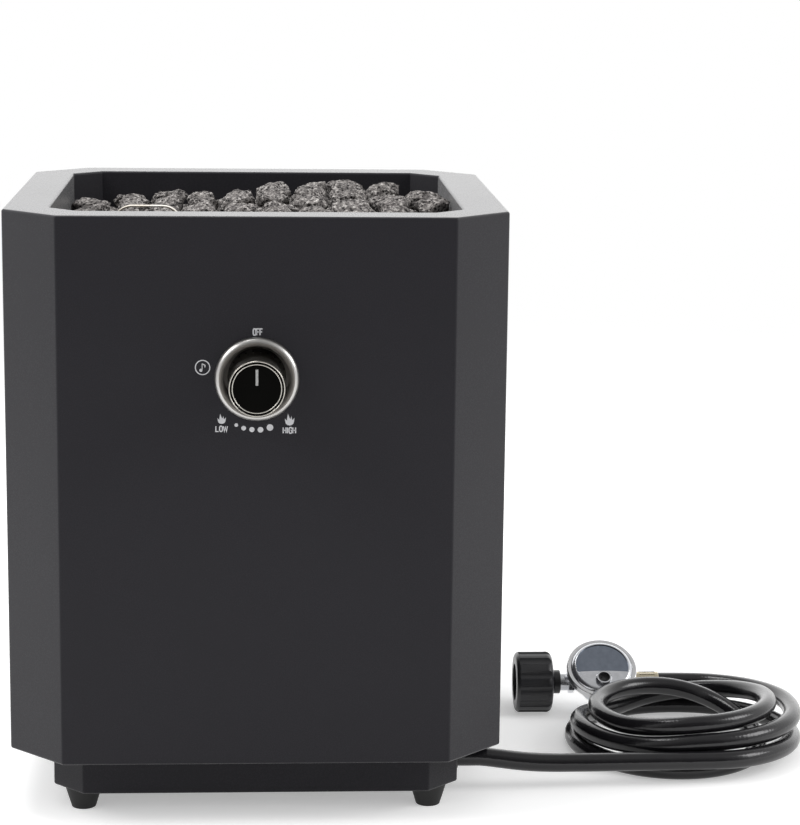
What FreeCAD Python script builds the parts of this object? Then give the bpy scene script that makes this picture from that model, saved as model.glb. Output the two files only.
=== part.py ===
import FreeCAD, Part
import math
import os
import random

from FreeCAD import Rotation, Vector

# Tabletop gas fire pit: an eight-sided steel body on a recessed plinth with four rubber
# feet, a fire bowl with a drum burner under lava stones, a push-and-turn control knob on
# the front, and a rubber gas hose that lies in a coil beside the body, with a cylinder
# regulator and a hand nut at its end. Millimetres, +Z up, the floor at z = 0.
# Pieces are drawn with the body's centre line on the Z axis; the whole model then moves
# back by half the knob's reach, so that its own box is centred on the origin.

# Body and rim
BODY_SIZE = 400.0
CORNER_LEG = 45.0
SHELL_HEIGHT = 441.0
SHEET = 1.5
EDGE_BEND = 3.0
RIM_BEND = 2.0
RIM_WIDTH = 36.0
LIP_DEPTH = 40.0
SHELL_RETURN = 17.0
SHELL_SCREW_SETBACK = 12.4

# Plinth, bottom plate and feet
PLINTH_HEIGHT = 36.0
PLINTH_INSET = 33.5
PLINTH_TOP_FLANGE = 12.0
PLINTH_FOOT_FLANGE = 45.0
PLATE_OPENING = 236.0
PLATE_OPENING_LEG = 30.0
FOOT_HEIGHT = 18.0
FOOT_TOP_RADIUS = 15.3
FOOT_TIP_RADIUS = 10.2
FOOT_EDGE_GAP = 9.0

# Screws and nuts
SCREW_RADIUS = 2.0
SCREW_HEAD_RADIUS = 3.9
SCREW_HEAD_HEIGHT = 2.4
SCREW_LENGTH = 10.0
SCREW_FIT = 0.05
FOOT_SCREW_RADIUS = 2.5
FOOT_SCREW_HEAD_RADIUS = 4.6
FOOT_SCREW_HEAD_HEIGHT = 3.0
FOOT_NUT_FLATS = 8.0
FOOT_NUT_HEIGHT = 4.0
SCREW_SPREAD = 96.0

# Fire bowl
BOWL_SHEET = 1.2
BOWL_DEPTH = 67.0
BOWL_LIP_OVERLAP = 18.0
BOWL_SLOPE_HEIGHT = 22.0
BOWL_SLOPE_RUN = 8.0
DRAIN_RADIUS = 3.0
DRAIN_CIRCLE = 112.0
DRAIN_COUNT = 8

# Burner, riser and mixing tube
DRUM_RADIUS = 75.0
DRUM_HEIGHT = 16.0
DRUM_LIFT = 7.0
DRUM_SHEET = 1.0
DRUM_HUB_RADIUS = 13.0
PORT_RADIUS = 1.8
PORT_INSETS = (13.0, 39.0)
PORT_COUNTS = (16, 8)
TUBE_BORE_RADIUS = 8.05
TUBE_WALL = 1.2
TUBE_FIT = 0.05
ELBOW_RADIUS = 26.0
RISER_NUT_FLATS = 28.0
RISER_NUT_HEIGHT = 7.0

# Igniter, beside the burner
IGNITER_GAP = 33.17
IGNITER_ANGLE = 213.69
CERAMIC_RADIUS = 3.6
CERAMIC_HEIGHT = 40.0
CERAMIC_COLLAR_RADIUS = 5.6
CERAMIC_COLLAR_HEIGHT = 5.0
ELECTRODE_RADIUS = 1.0
ELECTRODE_RISE = 8.0
ELECTRODE_REACH = 14.0
GUARD_SPAN = 57.0
GUARD_RISE = 59.0
GUARD_STRIP = 10.0
GUARD_SHEET = 1.2
GUARD_TOE = 9.0
GUARD_BEND = 16.0
MODULE_SIZE = (56.0, 84.0, 46.0)
MODULE_INSET = 10.0

# Lava stones
STONE_PITCH = 47.0
STONE_RADIUS = 27.0
TOP_STONE_PITCH = 32.0
TOP_STONE_RADIUS = 20.5
TOP_STONE_LIFT = 29.0
STONE_SWELL = 13.0
STONE_GAP = 0.6
STONE_CLEARANCE = 0.4
STONE_TOP_GAP = 4.0
STONE_SEED = 41

# Knob, bezel and valve, all on one axis square to the front
KNOB_HEIGHT = 368.2
KNOB_REACH = 45.0
KNOB_BASE_RADIUS = 23.0
KNOB_FRONT_RADIUS = 21.6
KNOB_BASE_SINK = 8.0
KNOB_TRAVEL = 4.5
KNOB_STOPS = ((78.0, 1.4), (143.0, 1.0), (215.0, 2.2))
KNOB_WALL = 3.0
KNOB_FACE_RADIUS = 18.4
KNOB_RING_WIDTH = 0.9
KNOB_GROOVE_WIDTH = 1.4
KNOB_RING_HEIGHT = 2.6
KNOB_BOSS_RADIUS = 7.6
KNOB_FLUTES = 24
KNOB_FLUTE_RADIUS = 1.0
POINTER_WIDTH = 2.0
POINTER_FROM = 2.6
POINTER_LENGTH = 12.4
POINTER_DEPTH = 0.9
BEZEL_RADIUS = 33.0
BEZEL_OPENING = 26.2
BEZEL_RISE = 6.5
BEZEL_DEPTH = 20.0
BEZEL_SHEET = 1.0
BEZEL_HOLE_RADIUS = 9.0
BEZEL_FIT = 0.3
STEM_RADIUS = 4.0
STEM_FLAT = 3.0
STEM_FIT = 0.05
STEM_INSERT = 22.0
PLUG_RADIUS = 7.5
PLUG_LENGTH = 33.0
PLUG_FIT = 0.05
VALVE_RADIUS = 12.5
VALVE_LENGTH = 48.0
VALVE_FLANGE = (56.0, 24.0, 4.0)
VALVE_SCREW_OFFSET = 18.0
INLET_RADIUS = 8.5
INLET_DROP = 26.0
INLET_SETBACK = 26.0
OUTLET_RADIUS = 8.0
OUTLET_LENGTH = 10.0
GAS_BORE_RADIUS = 3.0
JET_FLATS = 10.0
JET_LENGTH = 12.0
BRACKET_WIDTH = 96.0
BRACKET_HEIGHT = 60.0
BRACKET_TOE = 14.0

# Hose
HOSE_DIAMETER = 15.9
HOSE_SIDE_Y = -110.0
HOSE_EXIT_HEIGHT = 29.0
GROMMET_NECK = 1.05
GROMMET_LIP_RADIUS = 10.8
GROMMET_INNER_LIP_RADIUS = 9.4
GROMMET_LIP = 2.6
INNER_FITTING_LENGTH = 30.0
INNER_FITTING_RADIUS = 9.6

# Coil of hose from the front on: turns done, radius and height of the centre line
COIL_STANDOFF = 177.0
COIL_CENTRE_Y = 1.0
COIL_LEAD = 25.0
COIL_END_SHIFT = 13.0
COIL_KNOTS = (
    (0.0, 103.5, 20.8), (0.25, 95.0, 10.8), (0.5, 94.0, 8.6), (0.75, 94.3, 8.6),
    (1.0, 92.0, 9.0), (1.25, 64.0, 14.5), (1.5, 62.0, 36.0), (1.75, 69.5, 41.0),
    (2.0, 83.5, 46.0), (2.25, 73.0, 44.5), (2.5, 84.6, 23.6), (2.625, 74.6, 18.8),
    (2.75, 91.0, 25.8), (3.0, 98.0, 37.4), (3.25, 99.5, 34.5), (3.5, 104.0, 28.3),
)

# Regulator, ferrule and hand nut, all on one axis along X
NUT_RADIUS = 27.9
NUT_FLOOR_GAP = 0.4
NUT_STANDOFF = 39.5
NUT_LENGTH = 35.0
NUT_FLUTES = 12
NUT_FLUTE_RADIUS = 5.5
NUT_FLUTE_DEPTH = 2.2
NUT_MOUTH_RADIUS = 16.9
NUT_HUB_RADIUS = 10.9
NUT_HUB_LENGTH = 7.0
NUT_BACK_WALL = 6.0
NIPPLE_RADIUS = 6.6
NIPPLE_FIT = 0.08
NIPPLE_FLANGE_RADIUS = 11.0
NIPPLE_FLANGE = 3.0
NIPPLE_NOSE_RADIUS = 5.2
NIPPLE_NOSE_LENGTH = 13.0
NIPPLE_BORE_RADIUS = 2.4
INLET_BOSS_RADIUS = 8.2
INLET_BOSS_LENGTH = 9.0
REGULATOR_RADIUS = 32.4
REGULATOR_TILT = 53.0
REGULATOR_LIFT = 18.0
REGULATOR_CORE_RADIUS = 17.0
REGULATOR_BASE_RADIUS = 13.0
REGULATOR_FLANGE = 2.6
COVER_FLANGE = 2.2
COVER_DOME_RADIUS = 27.2
COVER_DOME_RISE = 5.0
COVER_PANEL_RADIUS = 24.4
COVER_PANEL_CHORD = 7.0
COVER_PANEL_DEPTH = 1.6
CLAMP_WALL = 1.2
CLAMP_LIP = 2.6
VENT_OFFSET = 16.0
VENT_RADIUS = 7.4
VENT_BORE_RADIUS = 5.4
VENT_RISE = 4.2
VENT_BORE_DEPTH = 5.0
VENT_CAP_THICKNESS = 1.2
OUTLET_BOSS_RADIUS = 7.0
OUTLET_NECK_RADIUS = 5.6
FERRULE_RADIUS = 8.9
FERRULE_LENGTH = 21.0
FERRULE_CRIMPS = 8
FERRULE_BAND = 3.0

# Heights and places that follow from the sizes above
PLINTH_BOTTOM = FOOT_HEIGHT
SHELL_BOTTOM = PLINTH_BOTTOM + PLINTH_HEIGHT
SHELL_TOP = SHELL_BOTTOM + SHELL_HEIGHT
PLATE_BOTTOM = SHELL_BOTTOM + SHEET
PLATE_TOP = PLATE_BOTTOM + SHEET
BOWL_FLOOR = SHELL_TOP - BOWL_DEPTH + BOWL_SHEET
DRUM_BOTTOM = BOWL_FLOOR + DRUM_LIFT
DRUM_TOP = DRUM_BOTTOM + DRUM_HEIGHT
IGNITER_X = (DRUM_RADIUS + IGNITER_GAP) * math.cos(math.radians(IGNITER_ANGLE))
IGNITER_Y = (DRUM_RADIUS + IGNITER_GAP) * math.sin(math.radians(IGNITER_ANGLE))
FRONT_Y = -BODY_SIZE / 2.0
TUBE_RADIUS = TUBE_BORE_RADIUS + TUBE_WALL
HOSE_RADIUS = HOSE_DIAMETER / 2.0
COIL_CENTRE_X = BODY_SIZE / 2.0 + COIL_STANDOFF
NUT_FACE_X = BODY_SIZE / 2.0 + NUT_STANDOFF
NUT_AXIS_Y = COIL_CENTRE_Y + COIL_KNOTS[-1][1]
NUT_AXIS_Z = NUT_RADIUS + NUT_FLOOR_GAP

UP = Vector(0, 0, 1)
OUT = Vector(0, -1, 0)


# Helpers
def octagon(size, leg, z):
    """Closed eight-sided outline at height z."""
    half = size / 2.0
    inner = half - leg
    points = [
        (half, -inner), (half, inner), (inner, half), (-inner, half),
        (-half, inner), (-half, -inner), (-inner, -half), (inner, -half),
    ]
    corners = [Vector(x, y, z) for x, y in points]
    return Part.makePolygon(corners + corners[:1])


def body_outline(inset, z):
    """The body's outline moved inward by inset, all sides alike."""
    leg = CORNER_LEG - inset * (2.0 - math.sqrt(2.0))
    return octagon(BODY_SIZE - 2.0 * inset, leg, z)


def prism(inset, z0, z1):
    return Part.Face(body_outline(inset, z0)).extrude(Vector(0, 0, z1 - z0))


def turned(start, *steps):
    """A solid of revolution about Z. A step is a point, or a mid and an end point of an arc."""
    edges = []
    last = Vector(start[0], 0, start[1])
    for step in steps + (start,):
        if isinstance(step[0], tuple):
            mid = Vector(step[0][0], 0, step[0][1])
            end = Vector(step[1][0], 0, step[1][1])
            edges.append(Part.Arc(last, mid, end).toShape())
        else:
            end = Vector(step[0], 0, step[1])
            edges.append(Part.LineSegment(last, end).toShape())
        last = end
    face = Part.Face(Part.Wire(edges))
    return face.revolve(Vector(0, 0, 0), UP, 360)


def aimed(shape, origin, direction, spin=None):
    """Carry a shape drawn about Z to an origin, its Z along direction."""
    turn = Rotation(UP, direction) if spin is None else spin
    moved = shape.copy()
    moved.Placement = FreeCAD.Placement(origin, turn).multiply(shape.Placement)
    return moved


def hexagon_prism(flats, height):
    radius = flats / math.sqrt(3.0)
    corners = [Vector(radius, 0, 0)]
    for i in range(1, 7):
        angle = math.radians(60.0 * i)
        corners.append(Vector(radius * math.cos(angle), radius * math.sin(angle), 0))
    return Part.Face(Part.makePolygon(corners)).extrude(Vector(0, 0, height))


def knob_axis(shape):
    """Place a shape drawn about Z on the knob's axis; its z = 0 is the front's face."""
    return aimed(shape, Vector(0, FRONT_Y, KNOB_HEIGHT), OUT)


def nut_axis(shape, x):
    """Place a shape drawn about Z on the regulator's flow axis, its z = 0 at x."""
    return aimed(shape, Vector(x, NUT_AXIS_Y, NUT_AXIS_Z), Vector(1, 0, 0))


def pan_screw(radius, head_radius, head_height, length):
    """A pan-head screw: head below z = 0, shank up to z = length."""
    crown = head_height * 0.55
    return turned(
        (0, -head_height), ((head_radius * 0.75, -head_height * 0.86), (head_radius, -crown + 0.4)),
        (head_radius, 0), (radius, 0), (radius, length - 0.6), (radius - 0.6, length), (0, length),
    )


def ring_points(offset, spread):
    """Eight points, two on each side of the body, at one distance from the centre."""
    points = []
    for sign in (-1.0, 1.0):
        for along in (-spread, spread):
            points.append((sign * offset, along))
            points.append((along, sign * offset))
    return points


# Housing
def outer_shell():
    """Folded steel housing: walls, flat rim, lip turned down into the bowl, bottom return."""
    shell = prism(0.0, SHELL_BOTTOM, SHELL_TOP)
    upright = [e for e in shell.Edges if abs(e.tangentAt(e.FirstParameter).z) > 0.9]
    shell = shell.makeFillet(EDGE_BEND, upright)
    level = [e for e in shell.Edges if e.BoundBox.ZLength < 0.001]
    shell = shell.makeFillet(RIM_BEND, level)
    shell = shell.cut(prism(SHEET, SHELL_BOTTOM + SHEET, SHELL_TOP - SHEET))
    shell = shell.cut(prism(SHELL_RETURN, SHELL_BOTTOM - 1.0, SHELL_BOTTOM + SHEET + 1.0))
    lip_bottom = SHELL_TOP - LIP_DEPTH
    shell = shell.fuse(prism(RIM_WIDTH - SHEET, lip_bottom, SHELL_TOP - SHEET))
    shell = shell.cut(prism(RIM_WIDTH, lip_bottom - 1.0, SHELL_TOP + 1.0)).removeSplitter()
    half = BODY_SIZE / 2.0 - RIM_WIDTH + 1.0
    inner_edges = []
    for edge in shell.Edges:
        box = edge.BoundBox
        if box.ZMin > SHELL_TOP - 0.01 and max(abs(box.XMin), abs(box.XMax)) < half:
            if max(abs(box.YMin), abs(box.YMax)) < half:
                inner_edges.append(edge)
    shell = shell.makeFillet(RIM_BEND, inner_edges)
    hole = Part.makeCylinder(BEZEL_OPENING + BEZEL_SHEET + BEZEL_FIT, 20.0)
    shell = shell.cut(knob_axis(hole.translated(Vector(0, 0, -10.0))))
    for x, y in shell_screw_points():
        hole = Part.makeCylinder(SCREW_RADIUS + SCREW_FIT, 10.0, Vector(x, y, SHELL_BOTTOM - 5.0))
        shell = shell.cut(hole)
    return shell


def shell_screw_points():
    return ring_points(BODY_SIZE / 2.0 - SHELL_SCREW_SETBACK, SCREW_SPREAD)


def base_screw_points():
    offset = BODY_SIZE / 2.0 - PLINTH_INSET - SHEET - SCREW_HEAD_RADIUS - 1.0
    return ring_points(offset, SCREW_SPREAD)


def foot_points():
    half = BODY_SIZE / 2.0 - PLINTH_INSET - FOOT_EDGE_GAP - FOOT_TOP_RADIUS
    return [(sx * half, sy * half) for sx in (-1, 1) for sy in (-1, 1)]


def base_plinth():
    """Recessed plinth: a folded ring with a screw flange at the top and a foot flange below."""
    top = PLATE_BOTTOM
    plinth = prism(PLINTH_INSET, PLINTH_BOTTOM, top)
    upright = [e for e in plinth.Edges if abs(e.tangentAt(e.FirstParameter).z) > 0.9]
    plinth = plinth.makeFillet(EDGE_BEND, upright)
    low = [e for e in plinth.Edges if e.BoundBox.ZMax < PLINTH_BOTTOM + 0.01]
    plinth = plinth.makeFillet(RIM_BEND, low)
    plinth = plinth.cut(prism(PLINTH_INSET + SHEET, PLINTH_BOTTOM + SHEET, top - SHEET))
    plinth = plinth.cut(prism(PLINTH_INSET + PLINTH_TOP_FLANGE, top - SHEET - 1.0, top + 1.0))
    opening = BODY_SIZE - 2.0 * (PLINTH_INSET + PLINTH_FOOT_FLANGE)
    floor_cut = Part.Face(octagon(opening, PLATE_OPENING_LEG, PLINTH_BOTTOM - 1.0))
    plinth = plinth.cut(floor_cut.extrude(Vector(0, 0, SHEET + 2.0)))
    for x, y in base_screw_points():
        hole = Part.makeCylinder(SCREW_RADIUS + SCREW_FIT, 6.0, Vector(x, y, top - 4.0))
        plinth = plinth.cut(hole)
    for x, y in foot_points():
        hole = Part.makeCylinder(FOOT_SCREW_RADIUS + SCREW_FIT, 6.0, Vector(x, y, PLINTH_BOTTOM - 2.0))
        plinth = plinth.cut(hole)
    neck = Part.makeCylinder(HOSE_RADIUS + GROMMET_NECK, 20.0)
    start = Vector(BODY_SIZE / 2.0 - PLINTH_INSET - 10.0, HOSE_SIDE_Y, HOSE_EXIT_HEIGHT)
    return plinth.cut(aimed(neck, start, Vector(1, 0, 0)))


def bottom_plate():
    """Sheet frame between housing and plinth, open in the middle for air, hose and service."""
    plate = prism(SHEET, PLATE_BOTTOM, PLATE_TOP)
    opening = Part.Face(octagon(PLATE_OPENING, PLATE_OPENING_LEG, PLATE_BOTTOM - 1.0))
    plate = plate.cut(opening.extrude(Vector(0, 0, SHEET + 2.0)))
    for x, y in shell_screw_points() + base_screw_points():
        hole = Part.makeCylinder(SCREW_RADIUS + SCREW_FIT, 6.0, Vector(x, y, PLATE_BOTTOM - 2.0))
        plate = plate.cut(hole)
    return plate


def rubber_feet():
    """Four tapered rubber feet, each with a deep hole for the screw that holds it."""
    feet = []
    sink = FOOT_HEIGHT * 0.55
    for x, y in foot_points():
        foot = turned(
            (FOOT_SCREW_RADIUS + SCREW_FIT, FOOT_HEIGHT), (FOOT_SCREW_RADIUS + SCREW_FIT, sink),
            (FOOT_SCREW_HEAD_RADIUS + 0.6, sink), (FOOT_SCREW_HEAD_RADIUS + 0.6, 0),
            (FOOT_TIP_RADIUS - 1.2, 0), ((FOOT_TIP_RADIUS - 0.3, 0.35), (FOOT_TIP_RADIUS, 1.2)),
            (FOOT_TOP_RADIUS, FOOT_HEIGHT),
        )
        foot.translate(Vector(x, y, 0))
        feet.append(foot)
    return Part.makeCompound(feet)


def foot_screws():
    head_seat = FOOT_HEIGHT * 0.55
    length = FOOT_HEIGHT - head_seat + SHEET + FOOT_NUT_HEIGHT + 2.0
    screws = []
    for x, y in foot_points():
        screw = pan_screw(FOOT_SCREW_RADIUS, FOOT_SCREW_HEAD_RADIUS, FOOT_SCREW_HEAD_HEIGHT, length)
        screw.translate(Vector(x, y, head_seat))
        screws.append(screw)
    return Part.makeCompound(screws)


def foot_nuts():
    nuts = []
    for x, y in foot_points():
        nut = hexagon_prism(FOOT_NUT_FLATS, FOOT_NUT_HEIGHT)
        nut = nut.cut(Part.makeCylinder(FOOT_SCREW_RADIUS + SCREW_FIT, FOOT_NUT_HEIGHT))
        nut.translate(Vector(x, y, PLINTH_BOTTOM + SHEET))
        nuts.append(nut)
    return Part.makeCompound(nuts)


def sheet_screws(points, seat):
    screws = []
    for x, y in points:
        screw = pan_screw(SCREW_RADIUS, SCREW_HEAD_RADIUS, SCREW_HEAD_HEIGHT, SCREW_LENGTH)
        screw.translate(Vector(x, y, seat))
        screws.append(screw)
    return Part.makeCompound(screws)


# Fire bowl, burner and mixing tube
def fire_bowl():
    """Steel pan whose wall stands outside the rim's lip and slopes in to a flat floor."""
    inner = RIM_WIDTH - SHEET
    outer = inner - BOWL_SHEET
    top = SHELL_TOP - LIP_DEPTH + BOWL_LIP_OVERLAP
    floor_low = BOWL_FLOOR - BOWL_SHEET
    bend = BOWL_FLOOR + BOWL_SLOPE_HEIGHT
    skin = prism(outer, bend, top)
    skin = skin.fuse(Part.makeLoft([
        body_outline(outer + BOWL_SLOPE_RUN, floor_low), body_outline(outer, bend)], True, True))
    hollow = prism(inner, bend, top + 1.0)
    hollow = hollow.fuse(Part.makeLoft([
        body_outline(inner + BOWL_SLOPE_RUN, BOWL_FLOOR), body_outline(inner, bend)], True, True))
    bowl = skin.cut(hollow)
    holes = [(0.0, 0.0, TUBE_RADIUS + TUBE_FIT), (IGNITER_X, IGNITER_Y, CERAMIC_RADIUS + 0.3)]
    for i in range(DRAIN_COUNT):
        angle = math.radians(22.5 + 360.0 * i / DRAIN_COUNT)
        holes.append((DRAIN_CIRCLE * math.cos(angle), DRAIN_CIRCLE * math.sin(angle), DRAIN_RADIUS))
    for x, y, radius in holes:
        bowl = bowl.cut(Part.makeCylinder(radius, 6.0, Vector(x, y, BOWL_FLOOR - 4.0)))
    return bowl


def burner_drum():
    """Flat round burner: a hollow steel drum on a hub, with rings of gas ports in its top."""
    drum = turned(
        (TUBE_RADIUS + TUBE_FIT, BOWL_FLOOR), (DRUM_HUB_RADIUS, BOWL_FLOOR),
        (DRUM_HUB_RADIUS, DRUM_BOTTOM), (DRUM_RADIUS - 2.0, DRUM_BOTTOM),
        ((DRUM_RADIUS - 0.6, DRUM_BOTTOM + 0.6), (DRUM_RADIUS, DRUM_BOTTOM + 2.0)),
        (DRUM_RADIUS, DRUM_TOP - 2.0),
        ((DRUM_RADIUS - 0.6, DRUM_TOP - 0.6), (DRUM_RADIUS - 2.0, DRUM_TOP)),
        (0, DRUM_TOP), (0, DRUM_TOP - DRUM_SHEET), (DRUM_RADIUS - DRUM_SHEET - 1.0, DRUM_TOP - DRUM_SHEET),
        (DRUM_RADIUS - DRUM_SHEET - 1.0, DRUM_BOTTOM + DRUM_SHEET),
        (TUBE_RADIUS + TUBE_FIT, DRUM_BOTTOM + DRUM_SHEET),
    )
    for inset, count in zip(PORT_INSETS, PORT_COUNTS):
        circle = DRUM_RADIUS - inset
        for i in range(count):
            angle = 2.0 * math.pi * i / count
            centre = Vector(circle * math.cos(angle), circle * math.sin(angle), DRUM_TOP - 3.0)
            drum = drum.cut(Part.makeCylinder(PORT_RADIUS, 5.0, centre))
    return drum


def mixing_tube_start():
    return FRONT_Y + BEZEL_DEPTH + SHEET + VALVE_FLANGE[2] + VALVE_LENGTH + OUTLET_LENGTH * 0.4


def burner_riser():
    """Mixing tube: slips over the valve's outlet, runs back, and bends up to the burner."""
    start = Vector(0, mixing_tube_start(), KNOB_HEIGHT)
    corner = Vector(0, 0, KNOB_HEIGHT)
    bend_in = corner + Vector(0, -ELBOW_RADIUS, 0)
    bend_out = corner + Vector(0, 0, ELBOW_RADIUS)
    s = ELBOW_RADIUS * (1.0 - math.sqrt(0.5))
    bend_mid = corner + Vector(0, -s, s)
    top = Vector(0, 0, DRUM_BOTTOM + DRUM_SHEET)
    path = Part.Wire([
        Part.LineSegment(start, bend_in).toShape(),
        Part.Arc(bend_in, bend_mid, bend_out).toShape(),
        Part.LineSegment(bend_out, top).toShape(),
    ])
    outer = path.makePipeShell([Part.Wire(Part.makeCircle(TUBE_RADIUS, start, Vector(0, 1, 0)))], True)
    bore = path.makePipeShell([Part.Wire(Part.makeCircle(TUBE_BORE_RADIUS, start, Vector(0, 1, 0)))], True)
    tube = outer.cut(bore)
    window_y = start.y + OUTLET_LENGTH * 0.6 + 2.0
    window = Part.makeBox(4.0 * TUBE_RADIUS, 14.0, 7.0, Vector(-2.0 * TUBE_RADIUS, window_y, KNOB_HEIGHT - 3.5))
    return tube.cut(window)


def riser_nut():
    nut = hexagon_prism(RISER_NUT_FLATS, RISER_NUT_HEIGHT)
    nut = nut.cut(Part.makeCylinder(TUBE_RADIUS + TUBE_FIT, RISER_NUT_HEIGHT))
    nut.translate(Vector(0, 0, BOWL_FLOOR - BOWL_SHEET - RISER_NUT_HEIGHT))
    return nut


# Igniter
def igniter_ceramic():
    """White ceramic insulator that stands through the bowl's floor on a collar."""
    low = BOWL_FLOOR - CERAMIC_HEIGHT * 0.4
    ceramic = turned(
        (ELECTRODE_RADIUS + 0.05, low), (CERAMIC_RADIUS, low), (CERAMIC_RADIUS, BOWL_FLOOR),
        (CERAMIC_COLLAR_RADIUS, BOWL_FLOOR), (CERAMIC_COLLAR_RADIUS, BOWL_FLOOR + CERAMIC_COLLAR_HEIGHT),
        (CERAMIC_RADIUS, BOWL_FLOOR + CERAMIC_COLLAR_HEIGHT + 1.5),
        (CERAMIC_RADIUS * 0.8, low + CERAMIC_HEIGHT), (ELECTRODE_RADIUS + 0.05, low + CERAMIC_HEIGHT),
    )
    ceramic.translate(Vector(IGNITER_X, IGNITER_Y, 0))
    return ceramic


def igniter_electrode():
    """Spark wire: up through the insulator, then over toward the burner's edge."""
    low = BOWL_FLOOR - CERAMIC_HEIGHT * 0.4 - 4.0
    high = BOWL_FLOOR + CERAMIC_HEIGHT * 0.6 + ELECTRODE_RISE
    toward = Vector(-IGNITER_X, -IGNITER_Y, 0).normalize()
    bend = ELECTRODE_RADIUS * 3.0
    base = Vector(IGNITER_X, IGNITER_Y, low)
    knee = Vector(IGNITER_X, IGNITER_Y, high)
    before = knee - UP * bend
    after = knee + toward * bend
    centre = before + toward * bend
    middle = centre + (UP - toward) * (bend * math.sqrt(0.5))
    path = Part.Wire([
        Part.LineSegment(base, before).toShape(),
        Part.Arc(before, middle, after).toShape(),
        Part.LineSegment(after, knee + toward * ELECTRODE_REACH).toShape(),
    ])
    return path.makePipeShell([Part.Wire(Part.makeCircle(ELECTRODE_RADIUS, base, UP))], True)


def igniter_guard():
    """Bent steel strip that arches over the igniter, on two toes on the bowl's floor."""
    def arch(span, rise, bend, z):
        half = span / 2.0
        s = bend * (1.0 - math.sqrt(0.5))
        points = [
            Vector(-half, 0, z), Vector(-half, 0, z + rise - bend), Vector(-half + bend, 0, z + rise),
            Vector(half - bend, 0, z + rise), Vector(half, 0, z + rise - bend), Vector(half, 0, z),
        ]
        left_mid = Vector(-half + s, 0, z + rise - s)
        right_mid = Vector(half - s, 0, z + rise - s)
        return Part.Face(Part.Wire([
            Part.LineSegment(points[0], points[1]).toShape(),
            Part.Arc(points[1], left_mid, points[2]).toShape(),
            Part.LineSegment(points[2], points[3]).toShape(),
            Part.Arc(points[3], right_mid, points[4]).toShape(),
            Part.LineSegment(points[4], points[5]).toShape(),
            Part.LineSegment(points[5], points[0]).toShape(),
        ]))
    outside = arch(GUARD_SPAN, GUARD_RISE, GUARD_BEND, 0.0)
    inside = arch(GUARD_SPAN - 2.0 * GUARD_SHEET, GUARD_RISE, GUARD_BEND - GUARD_SHEET, -GUARD_SHEET)
    strip = outside.cut(inside).extrude(Vector(0, GUARD_STRIP, 0))
    for sign in (-1.0, 1.0):
        left = sign * GUARD_SPAN / 2.0 if sign > 0 else -GUARD_SPAN / 2.0 - GUARD_TOE
        strip = strip.fuse(Part.makeBox(GUARD_TOE, GUARD_STRIP, GUARD_SHEET, Vector(left, 0, 0)))
    strip = strip.removeSplitter()
    strip.translate(Vector(IGNITER_X, IGNITER_Y - GUARD_STRIP / 2.0, BOWL_FLOOR))
    return strip


def side_module(side):
    """Closed plastic box that stands on the bottom plate against one side wall."""
    width, depth, height = MODULE_SIZE
    box = Part.makeBox(width, depth, height, Vector(-width / 2.0, -depth / 2.0, PLATE_TOP))
    upright = [e for e in box.Edges if abs(e.tangentAt(e.FirstParameter).z) > 0.9]
    box = box.makeFillet(5.0, upright)
    box.translate(Vector(side * (BODY_SIZE / 2.0 - SHEET - MODULE_INSET - width / 2.0), 0, 0))
    return box


# Lava stones
def stone_template():
    """Directions of a faceted ball, two poles and three staggered rings of six, and its faces."""
    directions = [Vector(0, 0, 1)]
    for ring, tilt in enumerate((48.0, 90.0, 132.0)):
        for i in range(6):
            turn = math.radians(60.0 * i + 30.0 * (ring % 2))
            t = math.radians(tilt)
            directions.append(Vector(math.sin(t) * math.cos(turn), math.sin(t) * math.sin(turn), math.cos(t)))
    directions.append(Vector(0, 0, -1))
    faces = []
    for i in range(6):
        j = (i + 1) % 6
        faces.append((0, 1 + i, 1 + j))
        faces.append((1 + i, 7 + i, 1 + j))
        faces.append((1 + j, 7 + i, 7 + j))
        faces.append((7 + i, 13 + j, 7 + j))
        faces.append((7 + i, 13 + i, 13 + j))
        faces.append((13 + i, 19, 13 + j))
    return directions, faces


def stone_seeds(rng):
    """Middles and radii of the stones: large ones round the burner, and over it all a layer
    and a broken second layer of smaller ones, lower at the left."""
    seeds = []
    half = BODY_SIZE / 2.0 - RIM_WIDTH
    for layer in (0, 1, 2):
        pitch, radius = (TOP_STONE_PITCH, TOP_STONE_RADIUS) if layer else (STONE_PITCH, STONE_RADIUS)
        reach = half - pitch * 0.42 - (0.0 if layer else BOWL_SLOPE_RUN)
        count = int(reach // pitch) + 1
        shift = 0.0 if layer == 1 else pitch * 0.5
        for i in range(-count, count + 1):
            for j in range(-count, count + 1):
                x = i * pitch + shift + rng.uniform(-0.1, 0.1) * pitch
                y = j * pitch + shift + rng.uniform(-0.1, 0.1) * pitch
                if max(abs(x), abs(y)) > reach or abs(x) + abs(y) > 2.0 * reach - CORNER_LEG * 0.6:
                    continue
                if abs(x - IGNITER_X) < GUARD_SPAN * 0.5 + 16.0 and abs(y - IGNITER_Y) < 14.0:
                    continue
                lift = rng.uniform(-2.0, 2.0)
                if layer == 0:
                    if math.hypot(x, y) < DRUM_RADIUS + 13.0:
                        continue
                    z = BOWL_FLOOR + 17.0 + lift
                elif layer == 1:
                    z = DRUM_TOP + 13.0 + lift
                else:
                    if rng.random() < 0.24:
                        continue
                    z = DRUM_TOP + TOP_STONE_LIFT + STONE_SWELL * (x + 0.4 * y) / BODY_SIZE + 1.6 * lift
                seeds.append((Vector(x, y, z), radius))
    return seeds


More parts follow.
